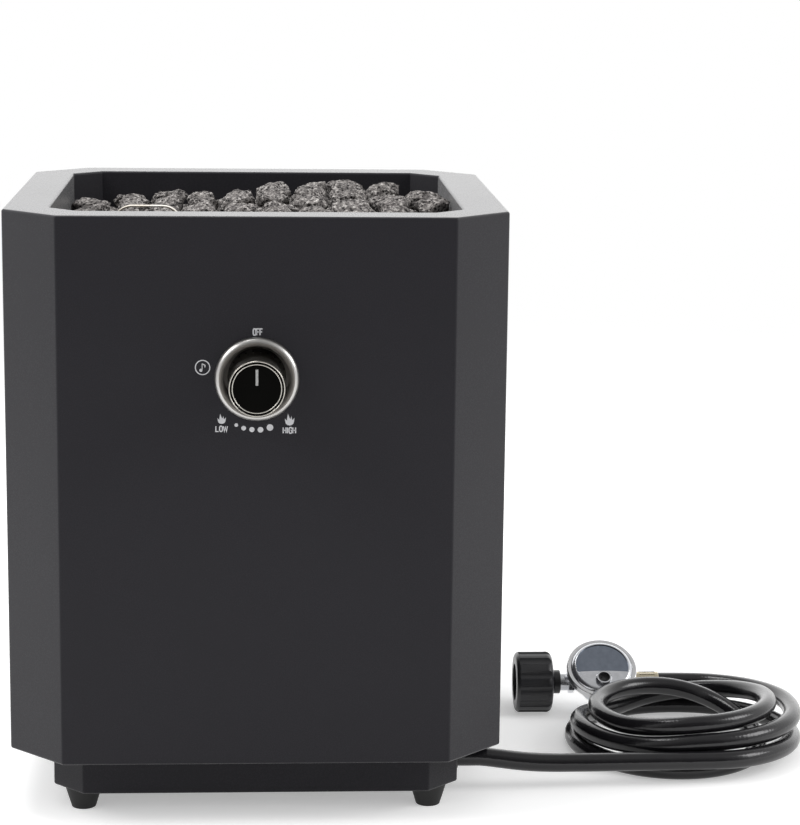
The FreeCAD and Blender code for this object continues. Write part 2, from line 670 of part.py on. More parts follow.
def stone_planes(seed, radius, seeds, rng):
    """Planes that a stone stays behind, as unit normal and distance from its middle."""
    planes = []
    touching = []
    for other, other_radius in seeds:
        gap = other - seed
        length = gap.Length
        if 0.1 < length < 1.2 * (radius + other_radius):
            share = length * radius / (radius + other_radius)
            planes.append((gap.normalize(), share - STONE_GAP / 2.0))
            touching.append((share, planes[-1][0]))
    inset = RIM_WIDTH + STONE_CLEARANCE
    if seed.z - radius < BOWL_FLOOR + BOWL_SLOPE_HEIGHT:
        inset = RIM_WIDTH + BOWL_SLOPE_RUN
    half = BODY_SIZE / 2.0 - inset
    leg = CORNER_LEG - inset * (2.0 - math.sqrt(2.0))
    corner = (2.0 * half - leg) / math.sqrt(2.0)
    for i in range(8):
        angle = math.radians(45.0 * i)
        normal = Vector(math.cos(angle), math.sin(angle), 0)
        planes.append((normal, (half if i % 2 == 0 else corner) - normal.dot(seed)))
    planes.append((Vector(0, 0, -1), seed.z - BOWL_FLOOR - STONE_CLEARANCE))
    planes.append((UP, SHELL_TOP - STONE_TOP_GAP - seed.z))
    span = math.hypot(seed.x, seed.y)
    if span < DRUM_RADIUS + 2.0 * radius:
        if seed.z > DRUM_TOP and span < DRUM_RADIUS + 16.0:
            planes.append((Vector(0, 0, -1), seed.z - DRUM_TOP - STONE_CLEARANCE))
        else:
            planes.append((Vector(-seed.x, -seed.y, 0).normalize(), span - DRUM_RADIUS - STONE_CLEARANCE))
    if abs(seed.x - IGNITER_X) < GUARD_SPAN / 2.0 + GUARD_TOE + radius:
        offset = seed.y - IGNITER_Y
        if abs(offset) < GUARD_STRIP / 2.0 + radius:
            side = 1.0 if offset > 0 else -1.0
            clear = abs(offset) - GUARD_STRIP / 2.0 - STONE_CLEARANCE
            planes.append((Vector(0, -side, 0), clear))
    for i in range(7):
        bump = Vector(rng.gauss(0, 1), rng.gauss(0, 1), rng.gauss(0, 1)).normalize()
        planes.append((bump, radius * rng.uniform(0.65, 0.9)))
    for i in range(2):
        crown = Vector(rng.uniform(-0.5, 0.5), rng.uniform(-0.5, 0.5), 1.0).normalize()
        planes.append((crown, radius * rng.uniform(0.5, 0.68)))
    return planes, touching


def lava_stones():
    """Loose porous stones heaped in the bowl, each cut clear of its neighbours and the parts."""
    rng = random.Random(STONE_SEED)
    directions, faces = stone_template()
    seeds = stone_seeds(rng)
    stones = []
    for seed, radius in seeds:
        planes, touching = stone_planes(seed, radius, seeds, rng)
        axis = Vector(rng.gauss(0, 1), rng.gauss(0, 1), rng.gauss(0, 1)).normalize()
        spin = Rotation(axis, rng.uniform(0, 360))
        rays = [spin.multVec(d) for d in directions]
        taken = set()
        aims = [direction for _, direction in sorted(touching, key=lambda pair: pair[0])[:5]]
        for aim in aims + [Vector(0, 0, -1)]:
            free = [i for i in range(len(rays)) if i not in taken]
            best = max(free, key=lambda i: rays[i].dot(aim))
            if rays[best].dot(aim) > 0.85:
                rays[best] = aim
                taken.add(best)
        corners = []
        for i, ray in enumerate(rays):
            length = radius * rng.uniform(0.9, 1.05)
            for normal, distance in planes:
                along = normal.dot(ray)
                if along > 0.0001:
                    length = min(length, distance / along)
            corners.append(seed + ray * length)
        if min((c - seed).Length for c in corners) < 3.0:
            continue
        shell = []
        for a, b, c in faces:
            shell.append(Part.Face(Part.makePolygon([corners[a], corners[b], corners[c], corners[a]])))
        stone = Part.Solid(Part.Shell(shell))
        if stone.Volume < 0:
            stone.reverse()
        stones.append(stone)
    print("stones", len(stones), "smallest mm3", round(min(s.Volume for s in stones)))
    return Part.makeCompound(stones)


# Knob, bezel and valve
def stem_solid(radius, flat, low, high):
    """A D-shaped bar about Z, its flat on the lower side."""
    bar = Part.makeCylinder(radius, high - low, Vector(0, 0, low))
    return bar.cut(Part.makeBox(4 * radius, radius, high - low, Vector(-2 * radius, -flat - radius, low)))


def stem_reach():
    """How far the stem goes in behind the front's face."""
    return BEZEL_DEPTH + SHEET + STEM_INSERT


def knob_bezel():
    """Spun metal cup with a rolled bright lip, set in the front; the knob sits in it."""
    lip = BEZEL_RADIUS - BEZEL_OPENING
    mid = BEZEL_OPENING + lip * 0.5
    return knob_axis(turned(
        (BEZEL_RADIUS, 0), ((BEZEL_RADIUS - lip * 0.12, BEZEL_RISE * 0.68), (mid, BEZEL_RISE)),
        ((BEZEL_OPENING + lip * 0.14, BEZEL_RISE * 0.8), (BEZEL_OPENING, BEZEL_RISE * 0.4)),
        (BEZEL_OPENING, -BEZEL_DEPTH + BEZEL_SHEET), (BEZEL_HOLE_RADIUS, -BEZEL_DEPTH + BEZEL_SHEET),
        (BEZEL_HOLE_RADIUS, -BEZEL_DEPTH), (BEZEL_OPENING + BEZEL_SHEET, -BEZEL_DEPTH),
        (BEZEL_OPENING + BEZEL_SHEET, 0),
    ).cut(screw_holes(-BEZEL_DEPTH - 2.0, 6.0)))


def screw_holes(low, height):
    """The two valve screws' holes, as solids to cut with, about the knob's axis."""
    left = Part.makeCylinder(SCREW_RADIUS + SCREW_FIT, height, Vector(-VALVE_SCREW_OFFSET, 0, low))
    right = Part.makeCylinder(SCREW_RADIUS + SCREW_FIT, height, Vector(VALVE_SCREW_OFFSET, 0, low))
    return Part.makeCompound([left, right])


def knob_radii():
    """Radii at the knob's face: face, inner ring, groove and outer ring."""
    inner_ring = KNOB_FACE_RADIUS + KNOB_RING_WIDTH
    return KNOB_FACE_RADIUS, inner_ring, KNOB_FRONT_RADIUS - KNOB_RING_WIDTH, KNOB_FRONT_RADIUS


def control_knob():
    """Deep moulded knob: hollow behind, a boss for the stem, fluted side, rebates for rings."""
    face, inner_ring, outer_ring, front = knob_radii()
    top = KNOB_REACH - 0.6
    seat = KNOB_REACH - KNOB_RING_HEIGHT
    back = -KNOB_BASE_SINK
    roof = seat - KNOB_WALL
    knob = turned(
        (0, roof), (KNOB_BOSS_RADIUS, roof), (KNOB_BOSS_RADIUS, back + 2.0), (0, back + 2.0),
    )
    knob = turned(
        (0, top), (face, top), (face, seat + 0.4), (inner_ring, seat + 0.4),
        (inner_ring, top - 0.5), (outer_ring, top - 0.5), (outer_ring, seat), (front, seat),
        (KNOB_BASE_RADIUS, back), (KNOB_BASE_RADIUS - KNOB_WALL, back),
        (front - KNOB_WALL, roof), (0, roof),
    ).fuse(knob)
    for i in range(KNOB_FLUTES):
        angle = 2.0 * math.pi * (i + 0.5) / KNOB_FLUTES
        ring = KNOB_BASE_RADIUS + KNOB_FLUTE_RADIUS * 0.3
        centre = Vector(ring * math.cos(angle), ring * math.sin(angle), 2.0)
        knob = knob.cut(Part.makeCylinder(KNOB_FLUTE_RADIUS, seat - 4.0, centre))
    knob = knob.cut(stem_solid(STEM_RADIUS, STEM_FLAT, -stem_reach(), roof - 2.0))
    return knob_axis(knob.cut(pointer_solid())).removeSplitter()


def pointer_solid():
    top = KNOB_REACH - 0.5
    return Part.makeBox(POINTER_WIDTH, POINTER_LENGTH, POINTER_DEPTH,
                        Vector(-POINTER_WIDTH / 2.0, POINTER_FROM, top - POINTER_DEPTH))


def knob_trim_rings():
    """Two thin bright rings let into the knob's front edge."""
    face, inner_ring, outer_ring, front = knob_radii()
    seat = KNOB_REACH - KNOB_RING_HEIGHT
    rings = []
    for inner, outer, low, high in (
            (face, inner_ring, seat + 0.4, KNOB_REACH - 0.2), (outer_ring, front, seat, KNOB_REACH)):
        mid = (inner + outer) / 2.0
        rings.append(turned(
            (inner, low), (outer, low), (outer, high - 0.5), ((mid, high), (inner, high - 0.5)),
        ))
    return knob_axis(Part.makeCompound(rings))


def valve_stem():
    roof = KNOB_REACH - KNOB_RING_HEIGHT - KNOB_WALL
    return knob_axis(stem_solid(STEM_RADIUS, STEM_FLAT, -stem_reach(), roof - 2.0))


def valve_plug():
    """Turning plug of the valve: a D-shaped bore for the stem, and a gas port for each
    setting that comes to the inlet, at the bottom, when the knob has turned that far."""
    front = -BEZEL_DEPTH - SHEET
    plug = Part.makeCylinder(PLUG_RADIUS, PLUG_LENGTH, Vector(0, 0, front - PLUG_LENGTH))
    low = -stem_reach() - KNOB_TRAVEL - 1.5
    plug = plug.cut(stem_solid(STEM_RADIUS + STEM_FIT, STEM_FLAT + STEM_FIT, low, front + 1.0))
    inlet_z = front - VALVE_FLANGE[2] - INLET_SETBACK
    for turn, radius in KNOB_STOPS:
        angle = math.radians(270.0 - turn)
        port = Part.makeCylinder(radius, 2.0 * PLUG_RADIUS, Vector(0, 0, inlet_z),
                                 Vector(math.cos(angle), math.sin(angle), 0))
        plug = plug.cut(port)
    low_end = front - PLUG_LENGTH
    return knob_axis(plug.cut(Part.makeCylinder(2.2, inlet_z - low_end + 1.0, Vector(0, 0, low_end - 1.0))))


def valve_body():
    """Gas valve casting: flange, barrel, inlet boss below and outlet boss behind."""
    front = -BEZEL_DEPTH - SHEET
    width, depth, thick = VALVE_FLANGE
    flange = Part.makeBox(width, depth, thick, Vector(-width / 2.0, -depth / 2.0, front - thick))
    upright = [e for e in flange.Edges if abs(e.tangentAt(e.FirstParameter).z) > 0.9]
    body = flange.makeFillet(depth * 0.4, upright)
    back = front - thick - VALVE_LENGTH
    body = body.fuse(Part.makeCylinder(VALVE_RADIUS, VALVE_LENGTH + 1.0, Vector(0, 0, back)))
    body = body.fuse(Part.makeCylinder(OUTLET_RADIUS, OUTLET_LENGTH + 1.0, Vector(0, 0, back - OUTLET_LENGTH)))
    inlet_z = front - thick - INLET_SETBACK
    body = body.fuse(Part.makeCylinder(INLET_RADIUS, INLET_DROP, Vector(0, 0, inlet_z), Vector(0, -1, 0)))
    bore = Part.makeCylinder(PLUG_RADIUS + PLUG_FIT, PLUG_LENGTH + 1.0, Vector(0, 0, front - PLUG_LENGTH))
    body = body.cut(bore)
    body = body.cut(Part.makeCylinder(GAS_BORE_RADIUS, INLET_DROP + 1.0, Vector(0, 0, inlet_z), Vector(0, -1, 0)))
    body = body.cut(Part.makeCylinder(GAS_BORE_RADIUS, 60.0, Vector(0, 0, back - OUTLET_LENGTH - 1.0)))
    return knob_axis(body.cut(screw_holes(front - thick - 1.0, thick + 2.0))).removeSplitter()


def gas_jet():
    """Brass jet in the valve's outlet, pointing into the mixing tube."""
    back = -BEZEL_DEPTH - SHEET - VALVE_FLANGE[2] - VALVE_LENGTH - OUTLET_LENGTH
    jet = hexagon_prism(JET_FLATS, JET_LENGTH * 0.5)
    jet.translate(Vector(0, 0, back - JET_LENGTH * 0.5))
    cone = Part.makeCone(JET_FLATS * 0.2, JET_FLATS * 0.4, JET_LENGTH * 0.5, Vector(0, 0, back - JET_LENGTH))
    jet = jet.fuse(cone)
    return knob_axis(jet.cut(Part.makeCylinder(0.7, JET_LENGTH + 2.0, Vector(0, 0, back - JET_LENGTH - 1.0))))


def valve_bracket():
    """Hat-shaped sheet bracket: toes on the inside of the front, web behind the bezel's cup."""
    half = BRACKET_WIDTH / 2.0
    web = -BEZEL_DEPTH
    low = -BRACKET_HEIGHT / 2.0
    parts = [Part.makeBox(BRACKET_WIDTH, BRACKET_HEIGHT, SHEET, Vector(-half, low, web - SHEET))]
    for sign in (-1.0, 1.0):
        left = half - SHEET if sign > 0 else -half
        parts.append(Part.makeBox(SHEET, BRACKET_HEIGHT, -web, Vector(left, low, web - SHEET)))
        toe = half - SHEET if sign > 0 else -half - BRACKET_TOE + SHEET
        parts.append(Part.makeBox(BRACKET_TOE, BRACKET_HEIGHT, SHEET, Vector(toe, low, -2.0 * SHEET)))
    bracket = parts[0].multiFuse(parts[1:])
    hole = Part.makeCylinder(PLUG_RADIUS - 0.6, 8.0, Vector(0, 0, web - 5.0))
    return knob_axis(bracket.cut(hole).cut(screw_holes(web - SHEET - 1.0, SHEET + 2.0))).removeSplitter()


def valve_screws():
    screws = []
    for sign in (-1.0, 1.0):
        screw = pan_screw(SCREW_RADIUS, SCREW_HEAD_RADIUS, SCREW_HEAD_HEIGHT, SCREW_LENGTH)
        screw.rotate(Vector(0, 0, 0), Vector(1, 0, 0), 180)
        screw.translate(Vector(sign * VALVE_SCREW_OFFSET, 0, -BEZEL_DEPTH + BEZEL_SHEET))
        screws.append(screw)
    return knob_axis(Part.makeCompound(screws))


# Hose
def grommet_face_x():
    return BODY_SIZE / 2.0 - PLINTH_INSET + GROMMET_LIP


def hose_grommet():
    """Rubber bush in the plinth's side: a neck in the hole between two lips."""
    wall_out = BODY_SIZE / 2.0 - PLINTH_INSET
    wall_in = wall_out - SHEET
    neck = HOSE_RADIUS + GROMMET_NECK - 0.05
    bush = turned(
        (HOSE_RADIUS + 0.05, wall_in - GROMMET_LIP), (GROMMET_INNER_LIP_RADIUS - 0.8, wall_in - GROMMET_LIP),
        (GROMMET_INNER_LIP_RADIUS, wall_in - GROMMET_LIP + 0.8), (GROMMET_INNER_LIP_RADIUS, wall_in),
        (neck, wall_in), (neck, wall_out), (GROMMET_LIP_RADIUS, wall_out),
        ((GROMMET_LIP_RADIUS - 0.4, wall_out + GROMMET_LIP * 0.7),
         (GROMMET_LIP_RADIUS - 1.6, wall_out + GROMMET_LIP)),
        (HOSE_RADIUS + 0.05, wall_out + GROMMET_LIP),
    )
    return aimed(bush, Vector(0, HOSE_SIDE_Y, HOSE_EXIT_HEIGHT), Vector(1, 0, 0))


def tube_on_points(points, radius, name):
    """A tube on straight runs joined by arcs as large as the shorter run allows."""
    edges = []
    last = points[0]
    radii = []
    for i in range(1, len(points) - 1):
        before = points[i] - points[i - 1]
        after = points[i + 1] - points[i]
        reach = 0.45 * min(before.Length, after.Length)
        d0 = Vector(before).normalize()
        d1 = Vector(after).normalize()
        turn = d0.getAngle(d1)
        bend = reach / math.tan(turn / 2.0)
        radii.append(bend)
        a = points[i] - d0 * reach
        b = points[i] + d1 * reach
        inward = (d1 - d0).normalize()
        middle = points[i] + inward * (bend / math.cos(turn / 2.0) - bend)
        edges.append(Part.LineSegment(last, a).toShape())
        edges.append(Part.Arc(a, middle, b).toShape())
        last = b
    edges.append(Part.LineSegment(last, points[-1]).toShape())
    path = Part.Wire(edges)
    start = Vector(points[1] - points[0]).normalize()
    tube = path.makePipeShell([Part.Wire(Part.makeCircle(radius, points[0], start))], True, False, 0)
    wanted = math.pi * radius * radius * path.Length
    print(name, "bend radii", [round(r) for r in radii], "length", round(path.Length, 1),
          "volume / section x length", round(tube.Volume / wanted, 4))
    return tube


def valve_inlet_point():
    back = FRONT_Y + BEZEL_DEPTH + SHEET + VALVE_FLANGE[2] + INLET_SETBACK
    return Vector(0, back, KNOB_HEIGHT - INLET_DROP)


def hose_inner():
    """The held stretch of hose, from the grommet up inside the body to the valve."""
    inlet = valve_inlet_point()
    end = inlet - UP * INNER_FITTING_LENGTH
    start = Vector(grommet_face_x(), HOSE_SIDE_Y, HOSE_EXIT_HEIGHT)
    low = start + Vector(-114.0, 12.0, 73.0)
    high = end - UP * 76.0
    points = [
        start,
        start + Vector(-38.0, 0, 0),
        start + Vector(-72.0, 6.0, 14.0),
        start + Vector(-99.0, 11.0, 40.0),
        low,
        low + (high - low) * 0.42 + Vector(0, 2.0, 0),
        high,
        end,
    ]
    return tube_on_points(points, HOSE_RADIUS, "hose_inner")


def hose_end_fitting():
    """Crimped sleeve and union nut that join the hose to the valve's inlet."""
    length = INNER_FITTING_LENGTH
    fitting = turned(
        (GAS_BORE_RADIUS, 0), (INNER_FITTING_RADIUS - 0.5, 0), (INNER_FITTING_RADIUS, 1.0),
        (INNER_FITTING_RADIUS, length * 0.55), (INNER_FITTING_RADIUS - 3.0, length * 0.6),
        (GAS_BORE_RADIUS, length * 0.6),
    )
    nut = hexagon_prism(2.0 * INNER_FITTING_RADIUS, length * 0.4)
    nut = nut.cut(Part.makeCylinder(GAS_BORE_RADIUS, length * 0.4))
    nut.translate(Vector(0, 0, length * 0.6))
    fitting = fitting.fuse(nut).removeSplitter()
    return aimed(fitting, valve_inlet_point() - UP * length, UP)


def coil_start():
    _, radius, height = COIL_KNOTS[0]
    return Vector(COIL_CENTRE_X - COIL_LEAD, COIL_CENTRE_Y - radius, height)


def hose_run():
    """The free stretch from the grommet over to the coil."""
    start = Vector(grommet_face_x(), HOSE_SIDE_Y, HOSE_EXIT_HEIGHT)
    end = coil_start()
    side = BODY_SIZE / 2.0
    points = [
        start,
        start + Vector(22.0, 0, 0),
        Vector(side + 32.0, HOSE_SIDE_Y + 1.4, 22.4),
        Vector(side + 80.0, HOSE_SIDE_Y + 4.6, 21.2),
        end - Vector(27.0, 0, 0),
        end,
    ]
    return tube_on_points(points, HOSE_RADIUS, "hose_run")


def coil_knot(index):
    """Point and direction of the coil's centre line at one knot."""
    last = len(COIL_KNOTS) - 1
    turns, radius, height = COIL_KNOTS[index]
    grow = rise = shift = 0.0
    if 0 < index < last:
        before = COIL_KNOTS[index - 1]
        after = COIL_KNOTS[index + 1]
        sweep = 2.0 * math.pi * (after[0] - before[0])
        grow = (after[1] - before[1]) / sweep
        rise = (after[2] - before[2]) / sweep
    if index == last:
        shift = COIL_END_SHIFT
    angle = 2.0 * math.pi * turns - math.pi / 2.0
    c, s = math.cos(angle), math.sin(angle)
    point = Vector(COIL_CENTRE_X + shift + radius * c, COIL_CENTRE_Y + radius * s, height)
    heading = Vector(grow * c - radius * s, grow * s + radius * c, rise).normalize()
    return point, heading


def biarc(p0, t0, p1, t1):
    """Two arcs that join smoothly and run from p0 along t0 to p1 along t1."""
    v = p1 - p0
    t = t0 + t1
    a = 2.0 * (1.0 - t0.dot(t1))
    b = v.dot(t)
    reach = (-b + math.sqrt(b * b + a * v.dot(v))) / a
    joint = (p0 + p1 + (t0 - t1) * reach) * 0.5
    arcs = []
    for start, tangent, end in ((p0, t0, joint), (joint, None, p1)):
        if tangent is None:
            tangent = arcs[0][3]
        chord = end - start
        normal = chord - tangent * chord.dot(tangent)
        normal.normalize()
        radius = chord.dot(chord) / (2.0 * chord.dot(normal))
        centre = start + normal * radius
        middle = centre + ((start - centre) + (end - centre)).normalize() * radius
        final = chord * (2.0 * chord.dot(tangent) / chord.dot(chord)) - tangent
        arcs.append((start, middle, end, final.normalize(), radius))
    return arcs


def coil_path():
    """The coil's centre line: a straight lead, then arcs, then a short straight end."""
    edges = [Part.LineSegment(coil_start(), coil_knot(0)[0]).toShape()]
    radii = []
    for index in range(len(COIL_KNOTS) - 1):
        p0, t0 = coil_knot(index)
        p1, t1 = coil_knot(index + 1)
        for start, middle, end, _, radius in biarc(p0, t0, p1, t1):
            edges.append(Part.Arc(start, middle, end).toShape())
            radii.append(radius)
    last = coil_knot(len(COIL_KNOTS) - 1)[0]
    edges.append(Part.LineSegment(last, Vector(ferrule_x() + FERRULE_LENGTH, last.y, last.z)).toShape())
    return Part.Wire(edges), radii


def least_gap(path):
    """Least free gap of the tube to itself, on points 4 mm apart along the centre line."""
    points = path.discretize(Distance=4.0)
    least = 1e9
    skip = int(HOSE_DIAMETER * 2.5 / 4.0)
    for i, p in enumerate(points):
        for q in points[i + skip:]:
            least = min(least, p.distanceToPoint(q))
    return least - HOSE_DIAMETER


def hose_coil():
    """Three and a half loose turns of hose piled on the floor, one unbroken tube."""
    path, radii = coil_path()
    circle = Part.makeCircle(HOSE_RADIUS, coil_start(), Vector(1, 0, 0))
    coil = path.makePipeShell([Part.Wire(circle)], True, False, 0)
    wanted = math.pi * HOSE_RADIUS ** 2 * path.Length
    low = min(p.z for p in path.discretize(Distance=4.0)) - HOSE_RADIUS
    print("hose_coil least gap", round(least_gap(path), 2), "above the floor", round(low, 2),
          "bends", round(min(radii)), "to", round(max(radii)), "length", round(path.Length, 1),
          "volume / section x length", round(coil.Volume / wanted, 4))
    return coil


# Regulator and hand nut
def nut_hub_x():
    """Where the nut's hub ends and the regulator's inlet boss begins."""
    return NUT_FACE_X + NUT_LENGTH + NUT_HUB_LENGTH


def regulator_x():
    return nut_hub_x() + INLET_BOSS_LENGTH + REGULATOR_RADIUS - 4.0


def ferrule_x():
    return regulator_x() + REGULATOR_RADIUS + 1.0


def regulator_frame(shape):
    """Place a shape drawn about Z on the regulator's own axis, tilted up and to the front."""
    tilt = math.radians(REGULATOR_TILT)
    face = Vector(0, -math.cos(tilt), math.sin(tilt))
    spin = Rotation(Vector(1, 0, 0), 90.0 - REGULATOR_TILT)
    centre = Vector(regulator_x(), NUT_AXIS_Y, NUT_AXIS_Z)
    return aimed(shape, centre, face, spin)


def regulator_body():
    """Zinc casting: a round bowl under the diaphragm, with inlet and outlet bosses."""
    lift = REGULATOR_LIFT
    bowl = turned(
        (0, -REGULATOR_CORE_RADIUS), (REGULATOR_BASE_RADIUS - 3.0, -REGULATOR_CORE_RADIUS),
        ((REGULATOR_BASE_RADIUS + 2.0, -REGULATOR_CORE_RADIUS + 3.0), (REGULATOR_CORE_RADIUS + 1.0, -4.0)),
        ((REGULATOR_RADIUS * 0.72, lift * 0.3), (REGULATOR_RADIUS - 5.0, lift - REGULATOR_FLANGE)),
        (REGULATOR_RADIUS - CLAMP_WALL, lift - REGULATOR_FLANGE),
        (REGULATOR_RADIUS - CLAMP_WALL, lift), (0, lift),
    )
    body = regulator_frame(bowl)
    inlet_length = regulator_x() - nut_hub_x()
    body = body.fuse(nut_axis(Part.makeCylinder(INLET_BOSS_RADIUS, inlet_length), nut_hub_x()))
    collar = hexagon_prism(INLET_BOSS_RADIUS * 2.3, 5.0)
    body = body.fuse(nut_axis(collar, nut_hub_x() + INLET_BOSS_LENGTH - 1.0))
    outlet_length = ferrule_x() - 3.0 - regulator_x()
    body = body.fuse(nut_axis(Part.makeCylinder(OUTLET_BOSS_RADIUS, outlet_length), regulator_x()))
    body = body.fuse(nut_axis(Part.makeCylinder(OUTLET_NECK_RADIUS, outlet_length + 3.0), regulator_x()))
    inside = nut_axis(Part.makeCylinder(NIPPLE_RADIUS + 0.05, 8.0), nut_hub_x())
    return body.cut(inside).removeSplitter()


def regulator_cover():
    """Domed cover with a flat D-shaped panel let into it and a round vent boss."""
    low = REGULATOR_LIFT
    rim = low + COVER_FLANGE
    top = rim + COVER_DOME_RISE
    cover = turned(
        (0, low), (REGULATOR_RADIUS - CLAMP_WALL, low), (REGULATOR_RADIUS - CLAMP_WALL, rim),
        (COVER_DOME_RADIUS + 1.2, rim),
        ((COVER_DOME_RADIUS, rim + COVER_DOME_RISE * 0.6), (COVER_DOME_RADIUS - 2.6, top - 0.6)),
        ((COVER_DOME_RADIUS * 0.55, top + 0.5), (0, top + 0.9)),
    )
    boss = turned(
        (0, low + 1.0), (VENT_RADIUS + 1.2, low + 1.0), (VENT_RADIUS + 1.2, rim + 1.0),
        (VENT_RADIUS, top), (VENT_RADIUS, top + VENT_RISE - 0.8),
        (VENT_RADIUS - 0.8, top + VENT_RISE), (0, top + VENT_RISE),
    )
    boss.translate(Vector(0, -VENT_OFFSET, 0))
    panel = Part.makeCylinder(COVER_PANEL_RADIUS, 20.0, Vector(0, 0, top - COVER_PANEL_DEPTH))
    below = Part.makeBox(80.0, 80.0, 60.0, Vector(-40.0, -80.0 - COVER_PANEL_CHORD, top - 30.0))
    cover = cover.cut(panel.cut(below)).fuse(boss)
    bore = Part.makeCylinder(VENT_BORE_RADIUS, VENT_BORE_DEPTH + 2.0,
                             Vector(0, -VENT_OFFSET, top + VENT_RISE - VENT_BORE_DEPTH))
    return regulator_frame(cover.cut(bore).removeSplitter())


def regulator_vent_cap():
    """Perforated plastic disc at the bottom of the vent's hole."""
    top = REGULATOR_LIFT + COVER_FLANGE + COVER_DOME_RISE
    low = top + VENT_RISE - VENT_BORE_DEPTH
    cap = Part.makeCylinder(VENT_BORE_RADIUS - 0.05, VENT_CAP_THICKNESS, Vector(0, -VENT_OFFSET, low))
    for i in range(5):
        angle = 2.0 * math.pi * i / 5.0
        hole = Vector(2.6 * math.cos(angle), 2.6 * math.sin(angle) - VENT_OFFSET, low - 1.0)
        cap = cap.cut(Part.makeCylinder(0.6, VENT_CAP_THICKNESS + 2.0, hole))
    return regulator_frame(cap)


def regulator_clamp_ring():
    """Rolled steel ring that clamps cover and casting together at their rims."""
    low = REGULATOR_LIFT - REGULATOR_FLANGE
    high = REGULATOR_LIFT + COVER_FLANGE
    inner = REGULATOR_RADIUS - CLAMP_WALL
    lip = inner - CLAMP_LIP
    ring = turned(
        (inner, low), (lip, low), (lip, low - CLAMP_WALL), (REGULATOR_RADIUS - 1.0, low - CLAMP_WALL),
        ((REGULATOR_RADIUS - 0.3, low - CLAMP_WALL + 0.3), (REGULATOR_RADIUS, low - CLAMP_WALL + 1.0)),
        (REGULATOR_RADIUS, high + CLAMP_WALL - 1.0),
        ((REGULATOR_RADIUS - 0.3, high + CLAMP_WALL - 0.3), (REGULATOR_RADIUS - 1.0, high + CLAMP_WALL)),
        (lip, high + CLAMP_WALL), (lip, high), (inner, high),
    )
    return regulator_frame(ring)


def inlet_nipple():
    """Brass nose that seats in the cylinder's valve; its flange holds the hand nut."""
    back = NUT_BACK_WALL + NUT_HUB_LENGTH
    end = back + 6.0
    nose = -NIPPLE_FLANGE - NIPPLE_NOSE_LENGTH
    nipple = turned(
        (NIPPLE_BORE_RADIUS, end), (NIPPLE_RADIUS, end), (NIPPLE_RADIUS, 0),
        (NIPPLE_FLANGE_RADIUS, 0), (NIPPLE_FLANGE_RADIUS, -NIPPLE_FLANGE),
        (NIPPLE_NOSE_RADIUS, -NIPPLE_FLANGE), (NIPPLE_NOSE_RADIUS, nose + 3.0),
        ((NIPPLE_NOSE_RADIUS - 0.7, nose + 1.0), (NIPPLE_NOSE_RADIUS - 2.0, nose)),
        (NIPPLE_BORE_RADIUS, nose),
    )
    return nut_axis(nipple, NUT_FACE_X + NUT_LENGTH - NUT_BACK_WALL)


def coupling_nut():
    """Moulded hand nut with scalloped grips, a threaded mouth and a hub at the back."""
    length = NUT_LENGTH
    bore = NIPPLE_RADIUS + NIPPLE_FIT
    shoulder = NUT_RADIUS - 4.0
    nut = turned(
        (NUT_MOUTH_RADIUS, 0), (shoulder, 0), ((NUT_RADIUS - 1.2, 1.2), (NUT_RADIUS, 5.0)),
        (NUT_RADIUS, length - 8.0), ((NUT_RADIUS - 1.2, length - 3.0), (shoulder - 1.5, length - 1.0)),
        (NUT_HUB_RADIUS + 2.0, length), (NUT_HUB_RADIUS, length + 1.5),
        (NUT_HUB_RADIUS, length + NUT_HUB_LENGTH - 0.6),
        (NUT_HUB_RADIUS - 0.6, length + NUT_HUB_LENGTH), (bore, length + NUT_HUB_LENGTH),
        (bore, length - NUT_BACK_WALL), (NUT_MOUTH_RADIUS, length - NUT_BACK_WALL),
    )
    for i in range(NUT_FLUTES):
        angle = 2.0 * math.pi * i / NUT_FLUTES
        ring = NUT_RADIUS + NUT_FLUTE_RADIUS - NUT_FLUTE_DEPTH
        centre = Vector(ring * math.cos(angle), ring * math.sin(angle), 3.0)
        nut = nut.cut(Part.makeCylinder(NUT_FLUTE_RADIUS, length - 1.0, centre))
    return nut_axis(nut, NUT_FACE_X)


def hose_ferrule():
    """Crimped sleeve on the hose's end: eight pressed flats between two plain bands."""
    sleeve = turned(
        (OUTLET_NECK_RADIUS - 1.6, 0), (FERRULE_RADIUS - 0.5, 0), (FERRULE_RADIUS, 0.5),
        (FERRULE_RADIUS, FERRULE_LENGTH - 0.5), (FERRULE_RADIUS - 0.5, FERRULE_LENGTH),
        (OUTLET_NECK_RADIUS - 1.6, FERRULE_LENGTH),
    )
    for i in range(FERRULE_CRIMPS):
        flat = Part.makeBox(5.4, 2.0, FERRULE_LENGTH - 2.0 * FERRULE_BAND,
                            Vector(-2.7, FERRULE_RADIUS - 0.9, FERRULE_BAND))
        flat.rotate(Vector(0, 0, 0), UP, 360.0 * i / FERRULE_CRIMPS)
        sleeve = sleeve.cut(flat)
    return nut_axis(sleeve, ferrule_x())


